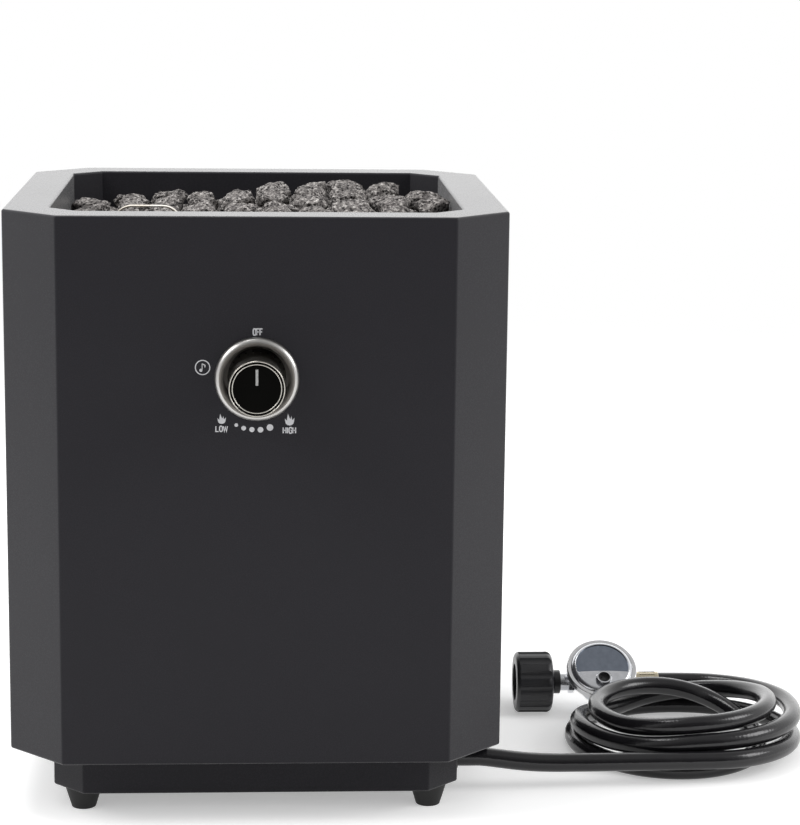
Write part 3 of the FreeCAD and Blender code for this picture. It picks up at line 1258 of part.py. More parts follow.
# The model
def build():
    return {
        "outer_shell": outer_shell(),
        "base_plinth": base_plinth(),
        "bottom_plate": bottom_plate(),
        "rubber_feet": rubber_feet(),
        "foot_screws": foot_screws(),
        "foot_nuts": foot_nuts(),
        "base_screws": sheet_screws(base_screw_points(), PLATE_BOTTOM - SHEET),
        "shell_screws": sheet_screws(shell_screw_points(), SHELL_BOTTOM),
        "fire_bowl": fire_bowl(),
        "burner_drum": burner_drum(),
        "burner_riser": burner_riser(),
        "riser_nut": riser_nut(),
        "igniter_ceramic": igniter_ceramic(),
        "igniter_electrode": igniter_electrode(),
        "igniter_guard": igniter_guard(),
        "igniter_module": side_module(-1.0),
        "sound_module": side_module(1.0),
        "lava_stones": lava_stones(),
        "knob_bezel": knob_bezel(),
        "control_knob": control_knob(),
        "knob_trim_rings": knob_trim_rings(),
        "knob_pointer": knob_axis(pointer_solid()),
        "valve_stem": valve_stem(),
        "valve_plug": valve_plug(),
        "valve_body": valve_body(),
        "valve_bracket": valve_bracket(),
        "valve_screws": valve_screws(),
        "gas_jet": gas_jet(),
        "hose_grommet": hose_grommet(),
        "hose_inner": hose_inner(),
        "hose_end_fitting": hose_end_fitting(),
        "hose_run": hose_run(),
        "hose_coil": hose_coil(),
        "hose_ferrule": hose_ferrule(),
        "regulator_body": regulator_body(),
        "regulator_cover": regulator_cover(),
        "regulator_clamp_ring": regulator_clamp_ring(),
        "regulator_vent_cap": regulator_vent_cap(),
        "inlet_nipple": inlet_nipple(),
        "coupling_nut": coupling_nut(),
    }


os.makedirs("parts", exist_ok=True)
for name, shape in build().items():
    placed = shape.copy()
    placed.translate(Vector(0, KNOB_REACH / 2.0, 0))
    box = placed.BoundBox
    print(name, "solids", len(placed.Solids), "valid", placed.isValid(), "mm3", round(placed.Volume),
          "box", [round(v, 1) for v in (box.XMin, box.YMin, box.ZMin, box.XMax, box.YMax, box.ZMax)])
    placed.exportStep("parts/" + name + ".step")
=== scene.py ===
import math

import bmesh
import bpy
from mathutils import Matrix, Vector, noise


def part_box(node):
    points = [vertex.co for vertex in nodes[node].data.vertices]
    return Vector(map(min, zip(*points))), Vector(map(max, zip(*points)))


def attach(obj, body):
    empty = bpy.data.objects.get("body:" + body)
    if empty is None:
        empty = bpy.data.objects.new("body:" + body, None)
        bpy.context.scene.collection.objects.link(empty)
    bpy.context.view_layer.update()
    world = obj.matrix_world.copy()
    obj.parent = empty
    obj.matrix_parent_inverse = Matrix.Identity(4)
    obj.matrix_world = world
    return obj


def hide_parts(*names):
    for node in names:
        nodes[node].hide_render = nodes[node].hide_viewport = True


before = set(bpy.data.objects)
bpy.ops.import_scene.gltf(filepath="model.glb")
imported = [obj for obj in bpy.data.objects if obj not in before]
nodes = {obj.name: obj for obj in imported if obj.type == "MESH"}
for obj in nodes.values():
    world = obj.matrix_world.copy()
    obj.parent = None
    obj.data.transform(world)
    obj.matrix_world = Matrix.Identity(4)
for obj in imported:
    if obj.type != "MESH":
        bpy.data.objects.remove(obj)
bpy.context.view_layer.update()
mm = 0.001

# Camera
# A long lens a good two metres off, a little above the rim, turned slightly to the right so
# that body and hose share the picture.
image_width = 800
image_height = 825
focal_pixels = 2503.5
eye = Vector((-1.28, -2101.25, 710.0)) * mm
turn_right = 0.0588
look_down = 0.1889
tilt = 0.0117

lens = bpy.data.cameras.new("camera")
lens.sensor_fit = "AUTO"
lens.sensor_width = 36.0
lens.lens = focal_pixels * lens.sensor_width / max(image_width, image_height)
camera = bpy.data.objects.new("camera", lens)
bpy.context.scene.collection.objects.link(camera)
aim = Matrix.Rotation(-turn_right, 4, "Z") @ Matrix.Rotation(math.pi / 2 - look_down, 4, "X")
camera.matrix_world = Matrix.Translation(eye) @ aim @ Matrix.Rotation(tilt, 4, "Z")
bpy.context.scene.camera = camera
bpy.context.scene.view_settings.view_transform = "Standard"


# Floor, studio and light
# A seamless white floor with soft shadows, pale walls of light all round, and three large
# soft lamps above, as in a product studio.
class Signal:
    """A socket of a material. Arithmetic on it adds Math nodes, node() adds any other."""

    def __init__(self, tree, socket=None):
        self.tree, self.socket = tree, socket

    def node(self, kind, settings=None, inputs=None, output=0):
        made = self.tree.nodes.new("ShaderNode" + kind)
        for name, value in (settings or {}).items():
            if name == "stops":
                ramp = made.color_ramp.elements
                while len(ramp) < len(value):
                    ramp.new(0.5)
                for stop, (place, colour) in zip(ramp, value):
                    stop.position = place
                    stop.color = (*colour, 1.0)
            else:
                setattr(made, name, value)
        for name, value in (inputs or {}).items():
            socket = made.inputs[name]
            if isinstance(value, Signal):
                self.tree.links.new(value.socket, socket)
            elif socket.type == "RGBA":
                socket.default_value = (*value, 1.0)
            else:
                socket.default_value = value
        return Signal(self.tree, made.outputs[output]) if made.outputs else None

    def maths(self, operation, *values):
        return self.node("Math", {"operation": operation}, dict(enumerate(values)))

    def __add__(self, other):
        return self.maths("ADD", self, other)

    def __sub__(self, other):
        return self.maths("SUBTRACT", self, other)

    def __rsub__(self, other):
        return self.maths("SUBTRACT", other, self)

    def __mul__(self, other):
        return self.maths("MULTIPLY", self, other)

    def __pow__(self, other):
        return self.maths("POWER", self, other)

    def __gt__(self, other):
        return self.maths("GREATER_THAN", self, other)

    def __lt__(self, other):
        return self.maths("LESS_THAN", self, other)

    __radd__ = __add__
    __rmul__ = __mul__


def new_finish(name):
    """A material with an empty tree: the material, and its object coordinates in metres."""
    material = bpy.data.materials.new(name)
    material.use_nodes = True
    material.node_tree.nodes.clear()
    return material, Signal(material.node_tree).node("TexCoord", output="Object")


def grain(place, scale, detail=2.0, roughness=0.5):
    """Cloudy noise between 0 and 1, with about `scale` lumps to the metre."""
    inputs = {"Vector": place, "Scale": scale, "Detail": detail, "Roughness": roughness}
    return place.node("TexNoise", {}, inputs)


def soft_step(value, low, high):
    """From 0 where a value is low to 1 where it is high, eased at both ends."""
    inputs = {"Value": value, "From Min": low, "From Max": high}
    return value.node("MapRange", {"interpolation_type": "SMOOTHSTEP"}, inputs)


def blend(factor, low, high):
    """A colour between two, by a factor."""
    settings = {"data_type": "RGBA"}
    return factor.node("Mix", settings, {0: factor, 6: low, 7: high}, output=2)


def bump(height, distance, strength=1.0):
    return height.node("Bump", {}, {"Height": height, "Distance": distance, "Strength": strength})


def finished(place, inputs):
    """Close a material with the given values on its main shader."""
    skin = place.node("BsdfPrincipled", {}, inputs)
    place.node("OutputMaterial", {}, {"Surface": skin})


def paint(node_name, material):
    """Give a CAD node its finish."""
    mesh = nodes[node_name].data
    mesh.materials.clear()
    mesh.materials.append(material)


def add_mesh(name, mesh, material, body):
    """Put a new piece into the scene, on its body and with the slot that it takes."""
    piece = bpy.data.objects.new(name, mesh)
    bpy.context.scene.collection.objects.link(piece)
    mesh.materials.append(material)
    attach(piece, body)
    return piece


floor_half = 6.0
floor_shades = (0.86, 0.86, 0.86), (0.88, 0.88, 0.88)
white_light = (1.0, 1.0, 1.0)
floor_lift = 0.36
floor_fade_near = 1.1
floor_fade_far = 2.6
floor_mesh = bpy.data.meshes.new("floor")
floor_corners = [(-floor_half, -floor_half, 0), (floor_half, -floor_half, 0),
                 (floor_half, floor_half, 0), (-floor_half, floor_half, 0)]
floor_mesh.from_pydata(floor_corners, [], [(0, 1, 2, 3)])
floor = bpy.data.objects.new("floor", floor_mesh)
bpy.context.scene.collection.objects.link(floor)
floor_finish, place = new_finish("floor")
seen_direct = place.node("LightPath", output="Is Camera Ray")
seen_mirrored = place.node("LightPath", output="Is Glossy Ray")
seen_through = place.node("LightPath", output="Is Transmission Ray")
seen_any = (seen_direct + seen_mirrored + seen_through) > 0.5
away = place.node("VectorMath", {"operation": "LENGTH"}, {0: place}, "Value")
far = soft_step(away, floor_fade_near, floor_fade_far)
matt = place.node("BsdfDiffuse", {}, {
    "Color": blend(grain(place, 3.0), *floor_shades), "Roughness": 0.9})
lift = place.node("Emission", {}, {"Color": white_light, "Strength": seen_any * floor_lift})
white = place.node("Emission", {}, {"Color": white_light, "Strength": 1.0})
lifted = place.node("AddShader", {}, {0: matt, 1: lift})
place.node("OutputMaterial", {}, {
    "Surface": place.node("MixShader", {}, {0: far * seen_any, 1: lifted, 2: white})})
floor_mesh.materials.append(floor_finish)

wall_light, back_wall_lift = 1.1, 0.75
room_dim, ceiling_dim = 0.88, 0.50
fill_light, fill_room_dim = 0.9, 0.5
studio = bpy.data.worlds.new("studio")
bpy.context.scene.world = studio
studio.use_nodes = True
studio.node_tree.nodes.clear()
sky = Signal(studio.node_tree)
seen = sky.node("LightPath", output="Is Camera Ray")
mirrored = sky.node("LightPath", output="Is Glossy Ray")
through = sky.node("LightPath", output="Is Transmission Ray")
backdrop = sky.node("Background", {}, {"Color": white_light, "Strength": 1.0})
heading = sky.node("TexCoord", output="Generated")
forward = heading.node("SeparateXYZ", {}, {"Vector": heading}, "Y")
upward = heading.node("SeparateXYZ", {}, {"Vector": heading}, "Z")
room_side = soft_step(forward * -1.0, 0.30, 0.92)
ceiling = soft_step(upward, 0.50, 0.95)
back_wall = soft_step(forward, 0.35, 0.95)
walls = (1.0 - room_side * room_dim) * (1.0 - ceiling * ceiling_dim)
walls = walls * (back_wall * back_wall_lift + wall_light)
fill = fill_light - room_side * fill_room_dim
reflected = sky.node("Background", {}, {"Color": white_light, "Strength": walls})
soft_fill = sky.node("Background", {}, {"Color": white_light, "Strength": fill})
off_lens = sky.node("MixShader", {}, {0: (mirrored + through) > 0.5, 1: soft_fill, 2: reflected})
shown = sky.node("MixShader", {}, {0: seen, 1: off_lens, 2: backdrop})
sky.node("OutputWorld", {}, {"Surface": shown})

# Name, place, aim and width in metres, and power in watts
soft_lamps = (
    ("key_lamp", (-1.9, -0.6, 2.0), (0.0, 0.0, 0.3), 1.1, 22.0),
    ("side_lamp", (2.2, -0.5, 1.4), (0.1, 0.0, 0.25), 1.0, 18.0),
    ("top_lamp", (-0.45, 0.2, 1.9), (0.0, 0.0, 0.4), 0.8, 14.0),
)
for name, place_at, aim_at, width, power in soft_lamps:
    lamp = bpy.data.lights.new(name, "AREA")
    lamp.shape = "SQUARE"
    lamp.size = width
    lamp.energy = power
    holder = bpy.data.objects.new(name, lamp)
    bpy.context.scene.collection.objects.link(holder)
    holder.location = place_at
    holder.rotation_euler = (Vector(aim_at) - Vector(place_at)).to_track_quat("-Z", "Y").to_euler()

# Hose
# Black rubber gas hose, cloth-marked when it was cured: one length from the bush in the
# plinth along the floor, three and a half loose turns piled on it, and into the ferrule.
hose_diameter = 15.9 * mm
# The line is drawn in mm from the body's middle, which stands this far back in the frame
back_set = 22.5
grommet_x, hose_y, hose_z = 169.1, -110.0, 29.0
square_to_bush = (-6.0, 12.0, 22.0)
run_sags = ((232.0, 1.4, 22.4), (280.0, 4.6, 21.2))
run_flat = 27.0
coil_centre = Vector((377.0, 1.0, 0.0))
coil_lead = 25.0
coil_end_shift = 13.0
ferrule_far_end = 373.3
square_to_ferrule = (2.0, -4.0)
# Turns done, and the radius and height of the hose's middle there
coil_knots = (
    (0.0, 103.5, 20.8), (0.25, 98.0, 14.5), (0.5, 94.0, 9.0), (0.75, 94.3, 8.6),
    (1.0, 91.3, 8.6), (1.25, 65.0, 14.5), (1.5, 62.0, 36.0), (1.75, 75.0, 38.0),
    (1.875, 82.0, 38.6), (1.9375, 82.8, 42.2), (2.0, 83.0, 46.5), (2.25, 76.5, 44.5),
    (2.5, 84.6, 23.6), (2.625, 74.6, 18.8), (2.75, 91.0, 25.6), (2.875, 92.5, 25.6),
    (2.9375, 92.0, 28.2), (3.0, 90.9, 32.8), (3.25, 99.5, 34.5), (3.5, 104.0, 28.3),
)
radius_at, height_at = 1, 2
points_per_turn = 24


def knot_slope(index, column):
    """How fast a knot's radius or height changes with the turn."""
    if index in (0, len(coil_knots) - 1):
        return 0.0
    before, after = coil_knots[index - 1], coil_knots[index + 1]
    return (after[column] - before[column]) / (after[0] - before[0])


def coil_value(turns, column):
    """Radius or height of the coil's line at a turn, smooth through the knots."""
    index = max(i for i, knot in enumerate(coil_knots[:-1]) if knot[0] <= turns)
    low, high = coil_knots[index], coil_knots[index + 1]
    span = high[0] - low[0]
    t = (turns - low[0]) / span
    rise_low = knot_slope(index, column) * span
    rise_high = knot_slope(index + 1, column) * span
    a = 2 * low[column] - 2 * high[column] + rise_low + rise_high
    b = -3 * low[column] + 3 * high[column] - 2 * rise_low - rise_high
    return ((a * t + b) * t + rise_low) * t + low[column]


first_knot, last_knot = coil_knots[0], coil_knots[-1]
run_end = coil_centre + Vector((-coil_lead, -first_knot[radius_at], first_knot[height_at]))
hose_points = [Vector((grommet_x + past, hose_y, hose_z)) for past in square_to_bush]
hose_points += [Vector((x, hose_y + aside, height)) for x, aside, height in run_sags]
hose_points += [run_end - Vector((run_flat, 0, 0)), run_end]

# The smooth line cuts the corners between its points, so they stand out by this share
swell = 1.0 / (0.75 + 0.25 * math.cos(2 * math.pi / points_per_turn))
last_turn, shift_from = coil_knots[-1][0], coil_knots[-2][0]
steps = round(last_turn * points_per_turn)
for step in range(1, steps):
    turns = last_turn * step / steps
    angle = 2 * math.pi * turns - math.pi / 2
    radius = coil_value(turns, radius_at) * swell
    shift = coil_end_shift * max(0.0, (turns - shift_from) / (last_turn - shift_from))
    hose_points.append(coil_centre + Vector((
        shift + radius * math.cos(angle), radius * math.sin(angle), coil_value(turns, height_at))))
end_y = coil_centre.y + last_knot[radius_at]
hose_points.append(Vector((coil_centre.x + coil_end_shift, end_y, last_knot[height_at])))
hose_points += [Vector((ferrule_far_end + past, end_y, last_knot[height_at]))
                for past in square_to_ferrule]

hose_curve = bpy.data.curves.new("gas_hose", "CURVE")
hose_curve.dimensions = "3D"
hose_curve.bevel_depth = hose_diameter / 2
hose_curve.bevel_resolution = 6
hose_curve.resolution_u = 6
hose_spline = hose_curve.splines.new("NURBS")
hose_spline.points.add(len(hose_points) - 1)
for control, at in zip(hose_spline.points, hose_points):
    control.co = (at.x * mm, (at.y + back_set) * mm, at.z * mm, 1.0)
hose_spline.order_u = 3
hose_spline.use_endpoint_u = True

hose_finish, place = new_finish("hose_rubber")
along = place.node("TexCoord", output="UV")
weave_scale = (620.0, 14.0, 1.0)
weave = along.node("TexVoronoi", {"feature": "F1"}, {
    "Vector": along.node("VectorMath", {"operation": "MULTIPLY"}, {0: along, 1: weave_scale}),
    "Scale": 1.0, "Randomness": 0.3})
cloth = grain(place, 900.0, 3.0, 0.6)
dust = grain(place, 60.0, 3.0, 0.6)
finished(place, {
    "Base Color": blend(dust, (0.005, 0.005, 0.006), (0.011, 0.010, 0.012)),
    "Roughness": cloth * 0.10 + dust * 0.06 + 0.09,
    "Specular IOR Level": 0.5,
    "Normal": bump(cloth * 0.6 + weave, 0.00018, 0.6),
})
hose = bpy.data.objects.new("gas_hose", hose_curve)
bpy.context.scene.collection.objects.link(hose)
hose_curve.materials.append(hose_finish)
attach(hose, "fire_pit")
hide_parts("hose_run", "hose_coil")
paint("hose_inner", hose_finish)


# Housing, plinth and bottom plate
# Folded steel sheet, powder-coated charcoal with a fine orange-peel texture; the plinth is
# screwed up against the bottom plate from below.
lightest_share = 1.35


def powder_coat(name, shade):
    """The housing's coat in a shade, clouded up to a somewhat lighter one."""
    material, at = new_finish(name)
    peel = grain(at, 1150.0, 3.0, 0.55)
    cloud = grain(at, 14.0, 3.0, 0.5)
    lightest = tuple(c * lightest_share for c in shade)
    finished(at, {
        "Base Color": blend(cloud * 0.5 + peel * 0.5, shade, lightest),
        "Roughness": peel * 0.10 + cloud * 0.04 + 0.20,
        "Specular IOR Level": 0.09,
        "Sheen Weight": 0.22,
        "Sheen Roughness": 0.60,
        "Normal": bump(peel, 0.00008, 0.4),
    })
    return material


body_coat = powder_coat("powder_coat", (0.0075, 0.0068, 0.0100))
base_coat = powder_coat("powder_coat_base", (0.0112, 0.0105, 0.0138))
paint("outer_shell", body_coat)
paint("base_plinth", base_coat)
paint("bottom_plate", base_coat)

# Feet, bush and their rubber
# Moulded black rubber: four tapered feet screwed through the plinth's flange, and the bush
# that the hose leaves through.
rubber_finish, place = new_finish("foot_rubber")
speckle = grain(place, 1600.0, 2.0)
scuff = grain(place, 120.0, 4.0, 0.6)
finished(place, {
    "Base Color": blend(scuff, (0.010, 0.010, 0.010), (0.026, 0.026, 0.026)),
    "Roughness": scuff * 0.2 + speckle * 0.1 + 0.5,
    "Normal": bump(speckle, 0.0001, 0.5),
})
paint("rubber_feet", rubber_finish)
paint("hose_grommet", rubber_finish)

# Screws, nuts and the valve's bracket
# Turned and pressed steel, zinc-plated blue-white, with the mottle of the plating. They hold
# the feet, the mixing tube and the valve.
plated_finish, place = new_finish("plated_steel")
mottle = grain(place, 260.0, 4.0, 0.6)
scratch = grain(place, 2400.0, 1.0)
finished(place, {
    "Base Color": blend(mottle, (0.50, 0.51, 0.53), (0.68, 0.69, 0.70)),
    "Metallic": 1.0,
    "Roughness": mottle * 0.18 + scratch * 0.08 + 0.22,
    "Normal": bump(scratch, 0.00003, 0.4),
})
for name in ("foot_screws", "foot_nuts", "riser_nut", "valve_stem", "valve_bracket", "valve_screws"):
    paint(name, plated_finish)

# Housing and plinth screws
# Pan-head steel screws, blackened to match the coat, so that they don't show under the edge.
# They hold housing and plinth to the bottom plate.
black_screw_finish, place = new_finish("black_screw")
oxide = grain(place, 300.0, 3.0)
finished(place, {
    "Base Color": blend(oxide, (0.012, 0.012, 0.013), (0.030, 0.030, 0.032)),
    "Metallic": 0.4,
    "Roughness": oxide * 0.2 + 0.38,
    "Normal": bump(oxide, 0.00004, 0.4),
})
paint("base_screws", black_screw_finish)
paint("shell_screws", black_screw_finish)

# Fire bowl
# Pressed steel pan under matt heat-proof paint, clouded with soot; its grey is a painted sheen,
# far lighter than the housing's coat so that the inner walls show light. Its wall stands behind
# the rim's lip.
bowl_finish_painted_sheen, place = new_finish("bowl_steel")
soot = grain(place, 30.0, 5.0, 0.65)
tooth = grain(place, 1800.0, 2.0)
finished(place, {
    # Painted sheen: the grey is kept far above the housing's coat so that the inner walls look lit.
    "Base Color": blend(soot, (0.030, 0.030, 0.033), (0.066, 0.064, 0.065)),
    "Roughness": soot * 0.2 + tooth * 0.1 + 0.34,
    "Normal": bump(tooth, 0.0001, 0.6),
})
paint("fire_bowl", bowl_finish_painted_sheen)

# Burner, mixing tube, guard and spark wire
# Stainless steel that heat has tinted straw and brown in clouds, with fine rolling lines. The
# drum stands on the bent tube, and the guard on two toes on the bowl's floor.
rolling_scale = (60.0, 60.0, 2600.0)
stainless_finish, place = new_finish("stainless")
heat = grain(place, 22.0, 4.0, 0.6)
rolling = place.node("VectorMath", {"operation": "MULTIPLY"}, {0: place, 1: rolling_scale})
lines = place.node("TexNoise", {}, {"Vector": rolling, "Scale": 1.0, "Detail": 2.0})
tint = heat.node("ValToRGB", {"stops": (
    (0.30, (0.56, 0.55, 0.53)), (0.52, (0.50, 0.43, 0.32)), (0.70, (0.26, 0.20, 0.17)))},
    {"Fac": heat})
finished(place, {
    "Base Color": tint,
    "Metallic": 1.0,
    "Roughness": lines * 0.22 + heat * 0.1 + 0.22,
    "Normal": bump(lines, 0.00002, 0.5),
})
for name in ("burner_drum", "burner_riser", "igniter_guard", "igniter_electrode"):
    paint(name, stainless_finish)

# Ceramic insulator
# White glazed porcelain round the spark wire, a little smoked in clouds. It stands through
# the bowl's floor on a collar.
ceramic_finish, place = new_finish("ceramic")
smoke = grain(place, 90.0, 4.0, 0.6)
finished(place, {
    "Base Color": blend(smoke ** 2.0, (0.80, 0.79, 0.75), (0.42, 0.39, 0.35)),
    "Roughness": smoke * 0.2 + 0.14,
    "Coat Weight": 0.4,
    "Coat Roughness": 0.1,
    "Normal": bump(grain(place, 900.0), 0.00003, 0.3),
})
paint("igniter_ceramic", ceramic_finish)

# Igniter and sound boxes, vent cap
# Black moulded plastic with a spark-eroded grain. The boxes stand on the bottom plate, and
# the cap sits in the regulator's vent.
plastic_finish, place = new_finish("module_plastic")
erosion = grain(place, 2200.0, 2.0)
flow = grain(place, 40.0, 3.0)
finished(place, {
    "Base Color": blend(flow, (0.014, 0.014, 0.015), (0.024, 0.024, 0.026)),
    "Roughness": erosion * 0.16 + flow * 0.08 + 0.40,
    "Normal": bump(erosion, 0.00008, 0.6),
})
for name in ("igniter_module", "sound_module", "regulator_vent_cap"):
    paint(name, plastic_finish)

# Lava stones
# Loose volcanic rock, grey to nearly black, rough and full of gas pores painted dark inside as
# painted shade; the heap fills the bowl to just under the rim.
weld_gap = 0.005 * mm
fine_above = 466.0 * mm
stone_cuts_fine = 7
stone_cuts_coarse = 2
stone_roundness = 0.35
lumps_per_metre = 70.0
lump_fineness, lump_steps, lump_layers = 0.9, 2.1, 5
lump_depth = 3.0 * mm
lump_sink = 0.6
pits_per_metre = 230.0
pit_width = 0.36
pit_depth = 1.5 * mm
heap_foot = 440.0 * mm
left_edge, right_edge = -135.0 * mm, 55.0 * mm
left_share = 0.72

heap = bmesh.new()
heap.from_mesh(nodes["lava_stones"].data)
bmesh.ops.remove_doubles(heap, verts=heap.verts, dist=weld_gap)


def stone_groups(mesh):
    """The loose stones of the heap, each as a list of its faces."""
    groups, seen_faces = [], set()
    for face in mesh.faces:
        if face in seen_faces:
            continue
        group, waiting = [], [face]
        seen_faces.add(face)
        while waiting:
            current = waiting.pop()
            group.append(current)
            for edge in current.edges:
                for beside in edge.link_faces:
                    if beside not in seen_faces:
                        seen_faces.add(beside)
                        waiting.append(beside)
        groups.append(group)
    return groups


fine_edges, coarse_edges = set(), set()
for group in stone_groups(heap):
    top = max(v.co.z for face in group for v in face.verts)
    chosen = fine_edges if top > fine_above else coarse_edges
    chosen.update(edge for face in group for edge in face.edges)
for edges, cuts in ((coarse_edges, stone_cuts_coarse), (fine_edges, stone_cuts_fine)):
    bmesh.ops.subdivide_edges(heap, edges=list(edges), cuts=cuts, use_grid_fill=True,
                              smooth=stone_roundness)
heap.normal_update()
moves = []
for vert in heap.verts:
    lumps = noise.fractal(vert.co * lumps_per_metre, lump_fineness, lump_steps, lump_layers)
    cells = noise.voronoi(vert.co * pits_per_metre)[0]
    pits = max(0.0, pit_width - cells[0]) / pit_width
    moves.append(vert.normal * (lumps * lump_depth - lump_depth * lump_sink - pits * pit_depth))
for vert, move in zip(heap.verts, moves):
    vert.co += move
    across = min(1.0, max(0.0, (vert.co.x - left_edge) / (right_edge - left_edge)))
    share = left_share + (1.0 - left_share) * across * across * (3.0 - 2.0 * across)
    if vert.co.z > heap_foot:
        vert.co.z = heap_foot + (vert.co.z - heap_foot) * share
for face in heap.faces:
    face.smooth = True
stone_mesh = bpy.data.meshes.new("lava_heap")
heap.to_mesh(stone_mesh)
heap.free()

stone_finish, place = new_finish("lava")
patch = grain(place, 38.0, 4.0, 0.6)
rough_grain = grain(place, 250.0, 6.0, 0.72)
pores = place.node("TexVoronoi", {"feature": "F1"}, {"Vector": place, "Scale": 330.0})
small_pores = place.node("TexVoronoi", {"feature": "F1"}, {"Vector": place, "Scale": 820.0})
pore_hollow_and_shade = pores.node("MapRange", {}, {"Value": pores, "From Min": 0.20, "From Max": 0.46})
small_pore_and_shade = small_pores.node("MapRange", {}, {"Value": small_pores, "From Min": 0.15, "From Max": 0.5})
stone_colour = rough_grain.node("ValToRGB", {"stops": (
    (0.36, (0.035, 0.031, 0.031)), (0.50, (0.170, 0.156, 0.150)), (0.63, (0.600, 0.570, 0.545)))},
    {"Fac": rough_grain * 0.85 + patch * 0.15})
finished(place, {
    # Painted shade: the pores are coloured almost black for the shadow in them; they are only bumped
    # in.
    "Base Color": blend(pore_hollow_and_shade * (small_pore_and_shade * 0.45 + 0.55), (0.006, 0.005, 0.006), stone_colour),
    "Roughness": rough_grain * 0.2 + 0.72,
    "Specular IOR Level": 0.3,
    "Normal": bump(pore_hollow_and_shade * 0.9 + small_pore_and_shade * 0.4 + rough_grain * 1.3, 0.0011, 0.9),
})
heap_piece = add_mesh("lava_heap", stone_mesh, stone_finish, "fire_pit")
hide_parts("lava_stones")

# Bezel
# Spun metal cup set in the front round the knob, its rolled lip brushed bright round the
# ring and its inside duller: browner and less metallic, a painted fill light for the deep cup.
knob_centre = Vector((0.0, -177.5, 368.2)) * mm
roll_radius = 29.4 * mm
cup_radius = 26.4 * mm
brush_across, brush_round, brush_deep = 4200.0, 2.2, 3600.0
bezel_and_painted_fill_finish, place = new_finish("bezel_steel")
about = place.node("VectorMath", {"operation": "SUBTRACT"}, {0: place, 1: tuple(knob_centre)})
ring_x, ring_z, ring_y = [about.node("SeparateXYZ", {}, {"Vector": about}, axis) for axis in "XZY"]
ring_radius = (ring_x * ring_x + ring_z * ring_z) ** 0.5
ring_angle = ring_x.maths("ARCTAN2", ring_z, ring_x)
brush_place = ring_radius.node("CombineXYZ", {}, {
    "X": ring_radius * brush_across, "Y": ring_angle * brush_round, "Z": ring_y * brush_deep})
brushing = brush_place.node("TexNoise", {}, {"Vector": brush_place, "Scale": 1.0, "Detail": 3.0})
in_roll = ring_radius < roll_radius
in_cup = ring_radius < cup_radius
lip_tone = blend(brushing, (0.34, 0.33, 0.32), (0.66, 0.65, 0.63))
# Painted fill light: the inside is browner and less metallic, so the shaded cup shows lighter.
cup_painted_fill_tone = blend(brushing, (0.36, 0.33, 0.30), (0.52, 0.49, 0.45))
finished(place, {
    "Base Color": blend(in_roll, lip_tone, cup_painted_fill_tone),
    "Metallic": 1.0 - in_roll * 0.45 - in_cup * 0.35,
    "Roughness": brushing * 0.20 + in_roll * 0.16 + 0.22,
    "Normal": bump(brushing, 0.00003, 0.6),
})
paint("knob_bezel", bezel_and_painted_fill_finish)

# Knob
# Deep black moulding with a glossy face and a grooved side, two bright rings and a let-in
# pointer that stands up at OFF.
knob_finish, place = new_finish("knob_black")
moulding = grain(place, 2600.0, 2.0)
finger = grain(place, 70.0, 3.0)
finished(place, {
    "Base Color": blend(finger, (0.0010, 0.0010, 0.0008), (0.0024, 0.0022, 0.0018)),
    "Roughness": finger * 0.10 + moulding * 0.05 + 0.10,
    "Specular IOR Level": 0.03,
    "Normal": bump(moulding, 0.00002, 0.25),
})
paint("control_knob", knob_finish)

chrome_finish, place = new_finish("trim_chrome")
haze = grain(place, 500.0, 3.0)
finished(place, {
    "Base Color": blend(haze, (0.44, 0.42, 0.38), (0.62, 0.60, 0.55)),
    "Metallic": 1.0,
    "Roughness": haze * 0.12 + 0.07,
    "Normal": bump(haze, 0.00001, 0.2),
})
paint("knob_trim_rings", chrome_finish)

pointer_finish, place = new_finish("pointer_satin")
satin = grain(place, 900.0, 3.0)
finished(place, {
    "Base Color": blend(satin, (0.30, 0.30, 0.30), (0.44, 0.44, 0.43)),
    "Metallic": 0.6,
    "Roughness": satin * 0.16 + 0.32,
    "Normal": bump(satin, 0.00001, 0.3),
})
paint("knob_pointer", pointer_finish)

# Valve, jet and brass fittings
# Machined brass with turning marks, dulled in patches: the valve on the knob's axis, the
# hose's union on it, and the nose that seats in the cylinder's valve.
brass_finish, place = new_finish("valve_brass")
dull = grain(place, 110.0, 4.0, 0.6)
turning = grain(place, 2800.0, 1.0)
finished(place, {
    "Base Color": blend(dull, (0.60, 0.43, 0.20), (0.44, 0.30, 0.14)),
    "Metallic": 1.0,
    "Roughness": dull * 0.22 + turning * 0.08 + 0.18,
    "Normal": bump(turning, 0.00002, 0.4),
})
for name in ("valve_plug", "valve_body", "gas_jet", "hose_end_fitting", "inlet_nipple"):
    paint(name, brass_finish)

# Ferrule
# Pale plated brass sleeve, pressed on the hose's end in eight flats between two plain bands.
# It joins the hose to the regulator.
ferrule_finish, place = new_finish("ferrule_brass")
press = grain(place, 320.0, 3.0)
finished(place, {
    "Base Color": blend(press, (0.62, 0.56, 0.42), (0.46, 0.41, 0.31)),
    "Metallic": 1.0,
    "Roughness": press * 0.2 + 0.16,
    "Normal": bump(press, 0.00004, 0.4),
})
paint("hose_ferrule", ferrule_finish)

